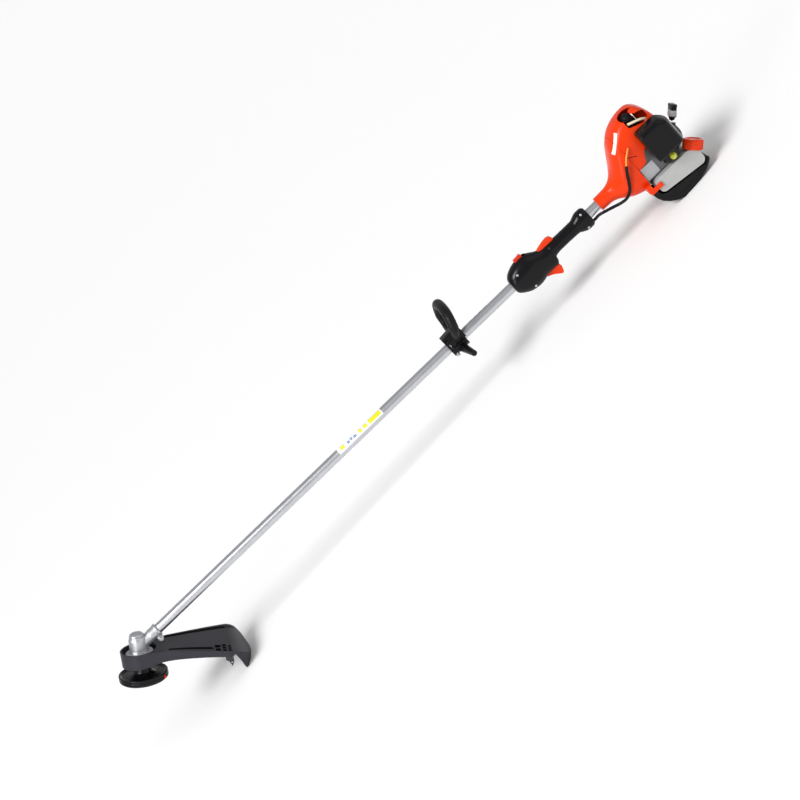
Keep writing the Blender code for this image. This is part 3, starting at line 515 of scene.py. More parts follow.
def wire(tree, kind, **values):
    """A node with its properties and its unlinked inputs set by name."""
    node = tree.nodes.new(kind)
    for key, value in values.items():
        if key.startswith("in_"):
            fill(node, **{key[3:]: value})
        else:
            setattr(node, key, value)
    return node


def pale_strip(tree, local, colour):
    """Paint the plain white strip on the case's left face over a colour."""
    strip = wire(tree, "ShaderNodeMapping", vector_type="TEXTURE", in_Location=STRIP_CENTRE,
                 in_Rotation=(0.0, -math.radians(STRIP_RISE), 0.0), in_Scale=STRIP_HALF_SIZE)
    feed(tree, local, strip)
    split = wire(tree, "ShaderNodeSeparateXYZ")
    feed(tree, strip, split)
    mask = None
    for axis in "XYZ":
        size = wire(tree, "ShaderNodeMath", operation="ABSOLUTE")
        tree.links.new(split.outputs[axis], size.inputs[0])
        inside = wire(tree, "ShaderNodeMath", operation="LESS_THAN")
        inside.inputs[1].default_value = 1.0
        feed(tree, size, inside)
        if mask is None:
            mask = inside
            continue
        both = wire(tree, "ShaderNodeMath", operation="MULTIPLY")
        feed(tree, mask, both)
        feed(tree, inside, both, 1)
        mask = both
    blend = wire(tree, "ShaderNodeMix", data_type="RGBA")
    paints = [socket for socket in blend.inputs if socket.type == "RGBA"]
    feed(tree, mask, blend, "Factor")
    tree.links.new(colour, paints[0])
    paints[1].default_value = STRIP_COLOUR
    return [socket for socket in blend.outputs if socket.type == "RGBA"][0]


def make_surface(name):
    """A plastic, metal or rubber with fine grain, uneven gloss and a slight drift of colour."""
    colour, roughness, metallic, grain, depth, coat = LOOKS[name]
    material = bpy.data.materials.new("surface_" + name)
    material.use_nodes = True
    tree = material.node_tree
    shader = tree.nodes["Principled BSDF"]
    # Black and orange plastics would go grey under the pale sky with a full reflection
    muted = max(colour) < 0.05 or colour[0] > 0.7
    fill(shader, Metallic=metallic, Coat_Weight=coat, Coat_Roughness=0.12,
         Specular_IOR_Level=0.2 if muted else 0.5)
    place = wire(tree, "ShaderNodeTexCoord")
    # Machine millimetres, whatever the resting tilt
    local = wire(tree, "ShaderNodeMapping", vector_type="TEXTURE", in_Location=MACHINE.translation,
                 in_Rotation=(0.0, TILT, 0.0), in_Scale=(MM, MM, MM))
    tree.links.new(place.outputs["Object"], local.inputs["Vector"])
    # A drawn tube's grain runs along the shaft
    along = 0.01 if name == "tube_aluminium" else 1.0
    stretch = wire(tree, "ShaderNodeMapping", in_Scale=(along, 1.0, 1.0))
    feed(tree, local, stretch)
    fine = wire(tree, "ShaderNodeTexNoise", in_Scale=grain * MM, in_Detail=4.0, in_Roughness=0.6)
    broad = wire(tree, "ShaderNodeTexNoise", in_Scale=0.035, in_Detail=3.0)
    feed(tree, stretch, fine)
    feed(tree, local, broad)
    bump = wire(tree, "ShaderNodeBump", in_Strength=depth, in_Distance=0.0004)
    feed(tree, fine, bump, "Height")
    feed(tree, bump, shader, "Normal")
    low, high = (roughness * drift for drift in GLOSS_DRIFT)
    gloss = wire(tree, "ShaderNodeMapRange", in_To_Min=low, in_To_Max=high)
    mixed = wire(tree, "ShaderNodeMath", operation="ADD")
    half = wire(tree, "ShaderNodeMath", operation="MULTIPLY")
    half.inputs[1].default_value = 0.5
    feed(tree, fine, mixed)
    feed(tree, broad, mixed, 1)
    feed(tree, mixed, half)
    feed(tree, half, gloss)
    feed(tree, gloss, shader, "Roughness")
    tone = wire(tree, "ShaderNodeMix", data_type="RGBA")
    ends = [socket for socket in tone.inputs if socket.type == "RGBA"]
    for socket, drift in zip(ends, TONE_DRIFT):
        socket.default_value = (*[min(1.0, c * drift) for c in colour], 1.0)
    feed(tree, broad, tone, "Factor")
    result = [socket for socket in tone.outputs if socket.type == "RGBA"][0]
    if name == "orange_case":
        result = pale_strip(tree, local, result)
    tree.links.new(result, shader.inputs["Base Color"])
    if name in GLOW:
        weight, reach = GLOW[name]
        fill(shader, Subsurface_Weight=weight, Subsurface_Radius=reach)
    return material


materials = {name: make_surface(name) for name in LOOKS}

for node_name, node_object in frame["nodes"].items():
    slots = [part["material_slot"] for part in frame["record"]["subparts"] if part["node"] == node_name]
    if slots and slots[0] in materials:
        node_object.data.materials.clear()
        node_object.data.materials.append(materials[slots[0]])


def cross_recess(frame_of_head, size, depth):
    """The cutter of a cross-head screw: its top lies at the frame's origin, its bars down local Z."""
    long, thin = size, size * 0.30
    arms = [(long, thin), (thin, thin), (thin, long), (-thin, long), (-thin, thin), (-long, thin)]
    arms += [(-x, -y) for x, y in arms]
    return prism(arms, -1.0, depth, frame_of_head)


def socket_bolt(name, place, head, top, depth, end, sides):
    """A bolt along local Z with a round head and a hexagonal recess, from the head's top to its far end."""
    under = top + 3.7
    shape = turned([(0, top), (head, top), (head, under), (2.5, under), (2.5, end), (0, end)], place, 0.5,
                   sides)
    hexagon = [polar(head / 2, math.radians(60 * k)) for k in range(6)]
    look(name, shape, "steel", cut=[prism(hexagon, top - 4, top + depth, place)])


def make_gear_case():
    body = turned([(0, FLANGE_BOTTOM), (33, FLANGE_BOTTOM), (33, FLANGE_TOP), (23.6, FLANGE_TOP),
                   (21.8, -4), (21.2, 12), (20.6, 21), (18.6, 25), (18.2, CASE_TOP - 0.2), (0, CASE_TOP)],
                  HEAD, 1.2, 96)
    socket = turned([(0, 6), (14.2, 6), (14.2, 36), (15.2, 42), (15.2, 56), (16.5, 58), (16.5, 63),
                     (0, 63)], SHAFT_DIRECTION, 0.8, 96)
    boss = rod((53, -12.5, -19.5), (53, 12.5, -19.5), 6.6, 48)
    web = box((46, -9, -20), (59, 9, -8))
    tube_bore = peg(12.35, 40, 70, 90, SHAFT_DIRECTION)
    slit = box((45, -1, -30), (66, 1, -5))
    hole = rod((53.1, -20, -19.4), (53.1, -11, -19.4), 2.9, 31)
    look("gear_case", body, "cast_aluminium", joined=[socket, web, boss], cut=[tube_bore, slit, hole],
         voxel=0.55, smoothing=7)
    cap = turned([(0, CAP_TOP), (8, CAP_TOP - 0.1), (12.5, CAP_TOP - 0.9), (16, CAP_TOP - 3),
                  (17.6, CAP_TOP - 5.4), (18.2, CASE_TOP + 0.9), (17.4, CASE_TOP + 0.35),
                  (0, CASE_TOP + 0.35)], HEAD, 1.4, 96)
    look("gear_case_cap", cap, "cast_aluminium")
    bolt_frame = at(53, 0, -19.5) @ SIDE_DIRECTION.inverted()
    socket_bolt("gear_case_bolt", bolt_frame, 4.2, -16.5, 1.9, 12, 48)


LID_THICKNESS = 8.0

# Columns across the shield's lid: share of the width from the near edge, where its height changes
LID_COLUMNS = [0.0, 0.012, 0.024, 0.034, 0.040, 0.048, 0.058, 0.072, 0.088, 0.094, 0.098, 0.101, 0.12, 0.15,
               0.182, 0.185, 0.189, 0.195, 0.22, 0.26, 0.30, 0.35, 0.40, 0.45, 0.50, 0.55, 0.60, 0.65, 0.70,
               0.75, 0.80, 0.84, 0.852, 0.858, 0.862, 0.89, 0.924, 0.928, 0.934, 0.942, 0.955, 0.97, 0.985,
               1.0]


def lid_height(share, reach):
    """Relief of the shield's lid: a crease inside the near crest, a long slot and a ridge by the far edge."""
    behind = max(0.0, min(1.0, (reach - 20) / 25)) * max(0.0, min(1.0, (238 - reach) / 25))
    height = 0.0
    if 0.034 < share < 0.058:
        height = -1.5
    elif 0.058 <= share < 0.860:
        height = -0.7
    elif 0.860 <= share <= 0.926:
        height = -4.2
    elif share > 0.926:
        height = 0.9 if share < 0.98 else 0.0
    height *= behind
    if 66 < reach < 168 and 0.100 <= share <= 0.183:
        height = -6.4
    return height


# Blind pockets in the rear of the lid: first and last reach, nearest and farthest width
POCKETS = ((170, 182, -60, -47), (171, 184, -43, -29), (186, 195, -61.5, -53), (187, 196, -50, -40),
           (188, 197, -37, -27), (199, 206, -62, -55), (200, 207, -52, -44), (201, 208, -41, -33))


def keep_up(row):
    """Raise the lips of a shield row that would pass below the ground."""
    row = list(row)
    for k in (0, 4):
        spot = HEAD @ Vector((row[k], row[k + 1], row[k + 3]))
        sunk = ground_height(spot.x) + 0.4 - spot.z
        if sunk > 0:
            row[k + 3] += 1.25 * sunk
    return row


def make_shield():
    """The cup and blade-shaped lid: rings of lips, inner lips and ceiling, then a grid for the lid's top."""
    rows = refine([[*near, *far] for near, far in shield_stations()], 9)
    arc = []
    for step in range(26):
        angle = math.radians(178 - 3.3 * step)
        reach, width = polar(CUP_RADIUS, angle)
        arc.append((reach, -width, CUP_RIM, -40.0, reach, width, CUP_RIM, -40.0))
    rows = [keep_up(row) for row in arc + rows]
    near = [row[:4] for row in rows]
    far = [row[4:] for row in rows]
    loop = near + far[::-1]
    count = len(loop)
    half = len(near)
    verts = [(p[0], p[1], p[3]) for p in loop]
    inner = []
    for k in range(count):
        before, here, after = (Vector(loop[(k + d) % count][:2]) for d in (-1, 0, 1))
        run = (after - before).normalized()
        inner.append(here + Vector((-run.y, run.x)) * WALL)
    verts += [(q.x, q.y, p[3]) for p, q in zip(loop, inner)]
    verts += [(q.x, q.y, p[2] - LID_THICKNESS) for p, q in zip(loop, inner)]
    lid = 3 * count
    columns = len(LID_COLUMNS)
    for k in range(half):
        a, b = near[k], far[k]
        for share in LID_COLUMNS:
            spot = [a[i] + (b[i] - a[i]) * share for i in range(3)]
            swell = 1.6 * math.sin(math.pi * share) * max(0.0, min(1.0, (spot[0] - 60) / 60))
            verts.append((spot[0], spot[1], spot[2] + lid_height(share, spot[0]) + swell))
    faces = []

    def edge(k):
        return lid + k * columns if k < half else lid + (count - 1 - k) * columns + columns - 1

    for k in range(count):
        j = (k + 1) % count
        if k not in (half - 1, count - 1):
            faces.append((edge(k), edge(j), j, k))
        faces.append((k, j, count + j, count + k))
        faces.append((count + k, count + j, 2 * count + j, 2 * count + k))
    for k in range(half - 1):
        faces.append((2 * count + k, 2 * count + k + 1, 3 * count - 2 - k, 3 * count - 1 - k))
        for c in range(columns - 1):
            start = lid + k * columns + c
            faces.append((start, start + 1, start + columns + 1, start + columns))
    # The walls of the two ends follow every column of the lid
    for k in (0, half - 1):
        faces.append([k, *range(lid + k * columns, lid + (k + 1) * columns), count - 1 - k])
    shell = moved((verts, faces), HEAD)
    floor = peg(43.3, CUP_FLOOR - 2.7, CUP_FLOOR + 1, 90, HEAD)
    room = peg(40.6, CUP_FLOOR, 10, 93, HEAD)
    hub = rod(HEAD @ Vector((0, 0, -30)), HEAD @ Vector((0, 0, -8)), 16, 60)
    pockets = []
    for start, end, low, high in POCKETS:
        ring = rounded([(start, low), (end, low - 1.5), (end + 2.5, high - 1.5), (start + 2.5, high)], 1.5)
        pockets.append(prism(ring, lid_level(end, low) - 5.4, 20, HEAD))
    shield = look("shield", shell, "shield_plastic", joined=[floor], cut=[room, hub] + pockets, bevel=0.9,
                  angle=40)
    # The lid's slots and pockets get painted shade: a near-black material on their faces
    paint_recess_shade(shield)


def lid_level(reach, width):
    """Height of the shield's lid toward its rear end."""
    return -24 - 0.214 * (reach - 170) + 0.08 * (width + 50)


def paint_recess_shade(shield):
    """Paint shade onto the sunk parts of the lid, the two long slots and the pockets: a near-black second
    material on their faces stands in for the shade in them.
    """
    inverse = (MACHINE @ Matrix.Scale(MM, 4) @ HEAD).inverted()
    turn = inverse.to_3x3()
    # The second material is painted shade for the recesses
    shield.data.materials.append(materials["slot_black"])
    for face in shield.data.polygons:
        centre = inverse @ face.center
        normal = (turn @ face.normal).normalized()
        near = -50 - 0.144 * (centre.x - 65)
        far = 51 + 0.237 * (centre.x - 65)
        share = (centre.y - near) / (far - near)
        if 66 < centre.x < 168 and 0.099 < share < 0.188:
            face.material_index = 1
        if 48 < centre.x < 212 and 0.858 < share < 0.931 and normal.z > -0.2:
            face.material_index = 1
        level = lid_level(centre.x, centre.y)
        for start, end, low, high in POCKETS:
            inside = start - 0.5 < centre.x < end + 3 and low - 2 < centre.y < high + 0.5
            if inside and (abs(normal.z) < 0.5 or centre.z < level - 2.8):
                face.material_index = 1


def make_shield_parts():
    for side, y in (("left", -27.8), ("right", 27.8)):
        place = HEAD @ at(3, y, 0)
        screw = turned([(0, -7.2), (4, -7.2), (4.6, -8.4), (4.6, -10.2), (2.3, -10.2), (2.3, -19.5),
                        (0, -19.5)], place, 0.5, 40)
        recess = cross_recess(place @ at(0, 0, -7.2) @ Matrix.Rotation(math.pi, 4, "X"), 2.3, 1.2)
        look(f"shield_screw_{side}", screw, "steel", cut=[recess])
    blade = side_prism([(190, -41), (207, -41), (209, -58), (203, -71), (197, -58), (190, -53)], -64.9,
                       -63.2)
    hole = rod((203, -70, -61), (203, -60, -61), 1.8, 24)
    look("line_cutter_blade", moved(blade, HEAD), "blade_steel", cut=[moved(hole, HEAD)], bevel=0.4)


def upright(reach, angle, start, end, sides):
    """A thin bar beside the head's axis and along it, to cut a dimple or a groove."""
    foot = polar(reach, angle)
    return rod(HEAD @ Vector((*foot, start)), HEAD @ Vector((*foot, end)), 2.4, sides)


def make_line_head():
    housing = turned([(0, -61), (4.3, -61), (4.3, -24.3), (14, -24.3), (16, -27), (18, -44), (21, -59),
                      (30, -64.2), (49, -66.2), (53.5, -63), (56.4, HEAD_RIM_TOP), (HEAD_RIM_RADIUS, -63),
                      (HEAD_RIM_RADIUS, -67.5), (57.6, -68.2), (57.6, -69.6), (HEAD_RIM_RADIUS, -70.4),
                      (HEAD_RIM_RADIUS, HEAD_RIM_BOTTOM + 1.2), (57.2, HEAD_RIM_BOTTOM),
                      (56, HEAD_RIM_BOTTOM), (56, -68.4), (9, -68.4), (9, -84), (0, -84)], HEAD, 1.3, 120)
    angle = math.radians(EYELET_ANGLE)
    holes = []
    for side, turn in (("left", angle), ("right", angle + math.pi)):
        place = HEAD @ Matrix.Rotation(turn, 4, "Z") @ at(0, 0, -71.5) @ SHAFT_DIRECTION
        holes.append(peg(4.3, 50, 66, 36, place))
        eyelet = turned([(1.5, 54.6), (4, 54.6), (4, 59.4), (3.2, 60.2), (1.5, 60.2)], place, 0.5, 40)
        look(f"line_eyelet_{side}", eyelet, "red_plastic")
    dimples = [upright(40, angle + 0.9 + k * math.pi / 3, -58, -67, 24) for k in range(6)]
    look("line_head_housing", housing, "black_plastic", cut=holes + dimples)
    cover = turned([(24, -78.6), (24, -81), (52, -80.8), (55.4, -78.6)], HEAD, 0.8, 120)
    look("line_head_cover", cover, "black_plastic")
    knob = turned([(0, -94.5), (13, -94.2), (19.5, -91.8), (22.4, -87.5), (22.4, -82.6), (19.6, -82.6),
                   (19.6, -91), (0, -91)], HEAD, 1.5, 96)
    grooves = [upright(24.2, math.radians(30 * k), -93, -81, 20) for k in range(12)]
    look("bump_knob", knob, "black_plastic", cut=grooves)


def tube_patch(name, slot, start, end, low, high, lift):
    """A printed patch on the tube: part of a thin sleeve between two angles above the operator's left."""
    section = []
    count = max(4, int((high - low) / 6))
    for k in range(count + 1):
        angle = math.radians(low + (high - low) * k / count)
        section.append((-math.cos(angle), math.sin(angle)))
    outline = [(y * (TUBE_RADIUS + lift), z * (TUBE_RADIUS + lift)) for y, z in section]
    outline += [(y * (TUBE_RADIUS - 0.1), z * (TUBE_RADIUS - 0.1)) for y, z in section[::-1]]
    shape = skin([[(start, y, z) for y, z in outline], [(end, y, z) for y, z in outline]])
    look(name, shape, slot, rides="machine")


def make_shaft():
    tube = closed_fillet([(TUBE_BORE, TUBE_START), (TUBE_RADIUS, TUBE_START), (TUBE_RADIUS, TUBE_END),
                          (TUBE_BORE, TUBE_END)], 0.4)
    look("main_tube", lathe(tube, 96, SHAFT_DIRECTION), "tube_aluminium")
    patches = [
        ("label", "white", 652, 791, 5, 100, 0.14),
        ("label_spot_a", "yellow", 661, 673, 28, 72, 0.2), ("label_mark_0", "blue", 682, 689, 30, 62, 0.2),
        ("label_mark_1", "blue", 692, 699, 38, 68, 0.2), ("label_mark_2", "blue", 702, 711, 30, 60, 0.2),
        ("label_spot_b", "yellow", 719, 728, 28, 72, 0.2), ("label_spot_c", "yellow", 734, 745, 28, 72, 0.2),
        ("label_bar", "yellow", 751, 788, 22, 80, 0.2),
    ]
    patches += [(f"dash_{k}", "dark", 1063 + 15.5 * k, 1074 + 15.5 * k, 84, 100, 0.14) for k in range(5)]
    for name, tint, *place in patches:
        tube_patch("tube_" + name, "label_" + tint, *place)


def make_loop_handle():
    lean = at(LOOP_X, 0, 0) @ Matrix.Rotation(math.radians(LOOP_LEAN), 4, "Y")
    half = [(0, 25), (20, 25), (42, 27), (57, 36), (63, 50), (61, 67), (53, 81), (38, 90), (18, 94)]
    outline = half + [(0, 94.5)] + [(-y, z) for y, z in half[:0:-1]]
    ring = smooth_path([lean @ Vector((0, y, z)) for y, z in outline + outline[:1]], 10)[:-1]
    inverse = lean.inverted()
    radii = []
    for k, point in enumerate(ring):
        height = (inverse @ point).z
        rise = max(0.0, min(1.0, (height - 30) / 28))
        swell = rise * rise * (3 - 2 * rise)
        rib = 0.45 * (0.5 + 0.5 * math.cos(k * math.pi / 2)) if height > 62 else 0.0
        radii.append(7.6 + 4.4 * swell - rib)
    look("loop_handle", sweep(ring, radii, 36, closed=True), "soft_grip")
    bar = moved(rod((0, -40, 25), (0, 40, 25), 8.4, 48), lean)
    tube = rod((LOOP_X - 50, 0, 0), (LOOP_X + 50, 0, 0), TUBE_RADIUS + GAP, 72)
    bolt_frame = at(LOOP_X - 15, -18, 0)
    hole = peg(2.8, -40, 60, 30, bolt_frame)
    front = rounded([(-23, 0.3), (23, 0.3), (23, 16), (14, 30), (-14, 30), (-23, 16)], 2.5, 4)
    rear = rounded([(-23, 0.3), (23, 0.3), (23, 20), (14, 35), (-14, 35), (-23, 20)], 2.5, 4)
    upper = skin([[(LOOP_X - 22, y, z) for y, z in front], [(LOOP_X + 28, y, z) for y, z in rear]])
    slots = [box((LOOP_X - 16 + 14 * k, -30, 3.5), (LOOP_X - 8 + 14 * k, -20.5, 13)) for k in range(3)]
    look("loop_bracket_upper", upper, "black_plastic", cut=[tube, bar, hole] + slots, bevel=1.2)
    section = rounded([(-23, -0.3), (23, -0.3), (22, -14), (12, -22), (-12, -22), (-22, -14)], 2.5, 4)
    lower = skin([[(x, y, z) for y, z in section] for x in (LOOP_X - 22, LOOP_X + 24)])
    stub = rod((LOOP_X + 3, -14, -12.8), (LOOP_X + 13, -75.6, -24.8), 11.5, 48, 7.0)
    clear = peg(5, -60, -20, 36, bolt_frame)
    look("loop_bracket_lower", lower, "black_plastic", joined=[stub], cut=[tube, hole, clear], bevel=1.2)
    socket_bolt("loop_bolt", bolt_frame, 4.4, -24, 1.7, 20, 40)


def half_section(x, top, bottom, half_width, side, count=33):
    """One half of a section across the handle, flat along the middle."""
    ring = []
    middle, half = (top + bottom) / 2, (top - bottom) / 2
    for k in range(count):
        angle = math.pi * k / (count - 1)
        ring.append((x, side * (GAP / 2 + half_width * math.sin(angle) ** 0.85),
                     middle + half * math.cos(angle)))
    return ring


def make_throttle_handle():
    rows = refine(GRIP_SECTIONS, 5)
    hollow = skin([oval(x, top - WALL, bottom + WALL, width - WALL, 48, 2.1) for x, top, bottom,
                   width in refine(GRIP_SECTIONS[1:-1], 4)])
    tube = rod((1190, 0, 0), (1470, 0, 0), TUBE_RADIUS + GAP, 72)
    trigger_slot = box((1280.5, -7, -70), (1337, 7, -13))
    lockout_slot = box((1306, -6.5, 13), (1356, 6.5, 40))
    switch_slot = box((1250, -7.5, 33), (1282, 7.5, 60))
    screws = {}
    for name, x, z in (("front_upper", 1235.6, 20.3), ("front_lower", 1251, -31),
                       ("rear_upper", 1438, 16.5), ("rear_lower", 1433, -19.3)):
        screws[name] = (x, z, grip_side(x, z) - 0.4)
    cable_hole = rod((1444, -7, -18.2), (1470, -7, -18.2), 4.4, 36)
    for name, side in (("left", -1), ("right", 1)):
        outer = skin([half_section(*section, side) for section in rows])
        holes = []
        if side < 0:
            holes = [rod((x, -40, z), (x, -reach + 1, z), 3.7, 36) for x, z, reach in screws.values()]
            holes.append(cable_hole)
        tools = [hollow, tube, trigger_slot, lockout_slot, switch_slot] + holes
        look(f"grip_half_{name}", outer, "black_plastic", cut=tools, bevel=0.7, angle=42)
    for name, (x, z, reach) in screws.items():
        place = at(x, 0, z) @ SIDE_DIRECTION.inverted()
        head = turned([(0, -reach - 0.6), (2.4, -reach - 0.6), (3.2, -reach), (3.2, -reach + 0.7),
                       (1.6, -reach + 0.7), (1.6, 11.5), (0, 11.5)], place, 0.3, 40)
        recess = cross_recess(place @ at(0, 0, -reach - 0.6), 1.7, 0.8)
        look(f"grip_screw_{name}", head, "steel", cut=[recess])
    trigger = [(1284, -24), (1290, -20), (1304, -19.6), (1319, -23.5), (1325, -29), (1327.5, -45),
               (1323.5, -57), (1319.5, -61.2), (1311, -55.5), (1302, -48), (1293.5, -43.5), (1287, -41.5),
               (1283, -33)]
    look("throttle_trigger", side_prism(rounded(trigger, 2.0, 4), -6, 6), "orange_gloss", bevel=1.6,
         segments=4)
    lockout = [(1307.5, 17.5), (1354, 16.6), (1354.5, 22.5), (1351.5, 28.3), (1343, 31), (1330, 29.5),
               (1314, 25.5), (1307.5, 23)]
    look("throttle_lockout", side_prism(rounded(lockout, 1.8, 4), -5.6, 5.6), "orange_gloss", bevel=1.5,
         segments=4)
    switch = [(1252, 34), (1274, 34), (1274, 46), (1270, 48.5), (1264, 46), (1258, 46.5), (1252, 44.5)]
    ridges = [box((1255 + 3 * k, -9, 45.2), (1256.2 + 3 * k, 9, 52)) for k in range(6)]
    look("stop_switch", side_prism(rounded(switch, 1.2, 3), -6.8, 6.8), "red_plastic", cut=ridges,
         bevel=0.5)
    route = [(1440, -7, -18.2), (1458, -7, -18.2), (1470, -13, -15.5), (1483, -19.5, -16.5),
             (1503, -21.5, -22), (1527, -28, -27), (1543, -38, -24), (1557, -47, -13), (1567, -54.5, 5),
             (1579, -60, 29), (1597, -58.5, 52), (1618, -54.2, 68)]
    path = smooth_path(route, 8)
    sleeve = [p for p in path if p.x < 1588]
    core = [p for p in path if p.x > 1583]
    look("control_cable", sweep(sleeve, [3.7] * len(sleeve), 24), "rubber")
    # The inner wire beyond the sleeve: its gold colour is partly a painted glint
    look("control_cable_core", sweep(core, [2.0] * len(core), 20), "cable_gold", rides="machine")


# Stations along the fan case and the cylinder cover: x, top, bottom, half width and squareness
FAN_ROWS = [
    (1485, 17.5, -17.5, 17.5, 2.1), (1514, 18.2, -18.5, 18.5, 2.2), (1530, 20.5, -24, 23, 2.3),
    (1546, 28, -34, 35, 2.4), (1560, 43, -42, 46, 2.5), (1576, 68, -48, 51, 2.6), (1590, 89, -52, 52, 2.8),
    (1603, 103, -54, 52, 2.9),
]
COVER_ROWS = [
    (1603.6, 103.5, -44, 50, 3.0), (1616, 113, -40, 50, 3.0), (1630, 120, -34, 50, 3.0),
    (1648, 125.5, -20, 49, 3.0), (1668, 128, 10, 47, 3.0), (1687, 126, 28, 45, 3.0),
    (1701, 115, 38, 43, 3.0), (1711, 96, 41, 40, 3.0), (1717, 74, 48, 36, 3.0),
]


def shell_rings(rows, inset, lowest=None):
    """Rounded sections of a moulded case, inset by a wall, their bottoms never above a height."""
    rings = []
    for x, top, bottom, width, power in rows:
        low = bottom + inset if lowest is None else min(bottom + inset, lowest)
        rings.append(oval(x, top - inset, low, width - inset, 72, power))
    return rings


def make_engine_covers():
    outer = skin(shell_rings(refine(FAN_ROWS, 6), 0.0))
    inner = skin(shell_rings(refine(FAN_ROWS[2:], 6), WALL) + [oval(1612, 101, -52, 50, 72, 2.9)])
    bore = rod((1480, 0, 0), (1540, 0, 0), TUBE_RADIUS + GAP, 72)
    leg = box((1588, -56.8, -57.2), (1624, -53.2, -46))
    knee = box((1586, -56.8, -52), (1600, -38, -34))
    slit = moved(box((-14.5, -75, -1.0), (14.5, -30, 1.0)),
                 at(1611, 0, 44.4) @ Matrix.Rotation(math.radians(32), 4, "Y"))
    look("fan_case", outer, "orange_case", joined=[knee, leg], cut=[inner, bore, slit], bevel=1.2, angle=40)

    outer = skin(shell_rings(refine(COVER_ROWS, 6), 0.0))
    inner = [oval(1596, 99, -44, 47.4, 72, 3.0)] + shell_rings(refine(COVER_ROWS[:-1], 6), WALL, 20)
    boot_window = lathe([(0, 15), (18.7, 15), (21.3, 52), (0, 52)], 61, plug_frame())
    window = [(1651, 97), (1690.4, 82), (1704, 88), (1705.6, 104), (1691, 112.6), (1651, 115)]
    lead_window = side_prism(rounded(window, 4, 4), -61, -23.3)
    muffler_window = box((1627, 35, 11), (1688.5, 71, 91))
    floor = side_prism([(1590, -60), (1740, -60), (1740, 40), (1651, 40), (1641, 33), (1628, 9.5),
                        (1590, 4)], -70, 70)
    tools = [skin(inner), muffler_window, floor, lead_window, boot_window, slit]
    look("cylinder_cover", outer, "orange_case", cut=tools, bevel=1.2, angle=40)


def drills(places, start, end, radius):
    """Round cutters across the machine at (x, z) places."""
    return [rod((x, start, z), (x, end, z), radius, 24) for x, z in places]


def make_power_unit():
    case = [(1606, -20), (1606, 22), (1622, 30), (1686, 30), (1686, -30), (1676, -35), (1618, -35)]
    pad = box((1606.5, -35.5, -33), (1643, -30, 1))
    chamber = rod((1640, 0, 0), (1700, 0, 0), 22.6, 48)
    throat = rod((CYLINDER_X, 0, 0), (CYLINDER_X, 0, 40), BORE_RADIUS + 0.4, 48)
    journal = rod((1600, 0, 0), (1650, 0, 0), 8.3, 36)
    look("crankcase", side_prism(case, -33, 33), "dark_casting", cut=[journal, chamber, throat], bevel=1.4)
    screws = drills(((1611, -28.5), (1638.5, -28.5), (1611, -4), (1638.5, -4)), -40, -34.6, 1.8)
    look("crankcase_pad", pad, "cast_aluminium", cut=screws, bevel=1.2, rides="machine")

    profile = [(0, 78), (BORE_RADIUS, 78), (BORE_RADIUS, 30.3), (24, 30.3), (24, 36), (21, 36)]
    for z in (44, 58, 72):
        profile += [(21, z), (29, z + 0.6), (29, z + 3.4), (21, z + 4)]
    profile += [(16, 88), (0, 89)]
    place = plug_frame()
    plug_hole = peg(5.4, -12, 30, 36, place)
    plug_room = lathe([(0, 1), (9.2, 4.4), (9.2, 40), (0, 40)], 36, place)
    look("cylinder", turned(profile, at(CYLINDER_X, 0, 0), 0.6, 96), "dark_steel",
         cut=[plug_hole, plug_room])
    plug = turned([(0, -5), (5, -5), (5, 5), (7.6, 12), (7.6, 17), (4.4, 18), (4.4, 26), (0, 26)], place,
                  0.4, 48)
    look("spark_plug", plug, "steel")
    boot = turned([(0, 28), (5.2, 28), (5.2, 21), (10, 21), (12.5, 25), (14, 31), (13.2, 37), (11.6, 38.2),
                   (11.2, 40), (10, 43), (4, 45.5), (0, 45.6)], place, 1.5, 72)
    look("plug_boot", boot, "rubber")
    lead = smooth_path([(1655, -37, 104), (1672, -38, 98), (1688, -37, 91), (1698, -32, 80),
                        (1694, -30, 66)], 10)
    look("plug_lead", sweep(lead, [3.2] * len(lead), 24), "cream_sleeve")

    can = box((1634, 30, 42), (1686, 66, 86))
    stub = rod((1672, 60, 56), (1690, 76, 50), 7, 40)
    bore = rod((1673, 61, 55.6), (1692, 77.8, 49.3), 5.4, 36)
    ribs = [box((1640, 64.6, 50 + 6 * k), (1665, 70, 52.4 + 6 * k)) for k in range(5)]
    look("muffler", can, "dark_steel", joined=[stub], cut=[bore] + ribs, bevel=2.4, segments=4)


def scaled(outline, y, share, centre, middle=40):
    return [(centre + (x - 1690) * share, y, middle + (z - middle) * share) for x, z in outline]


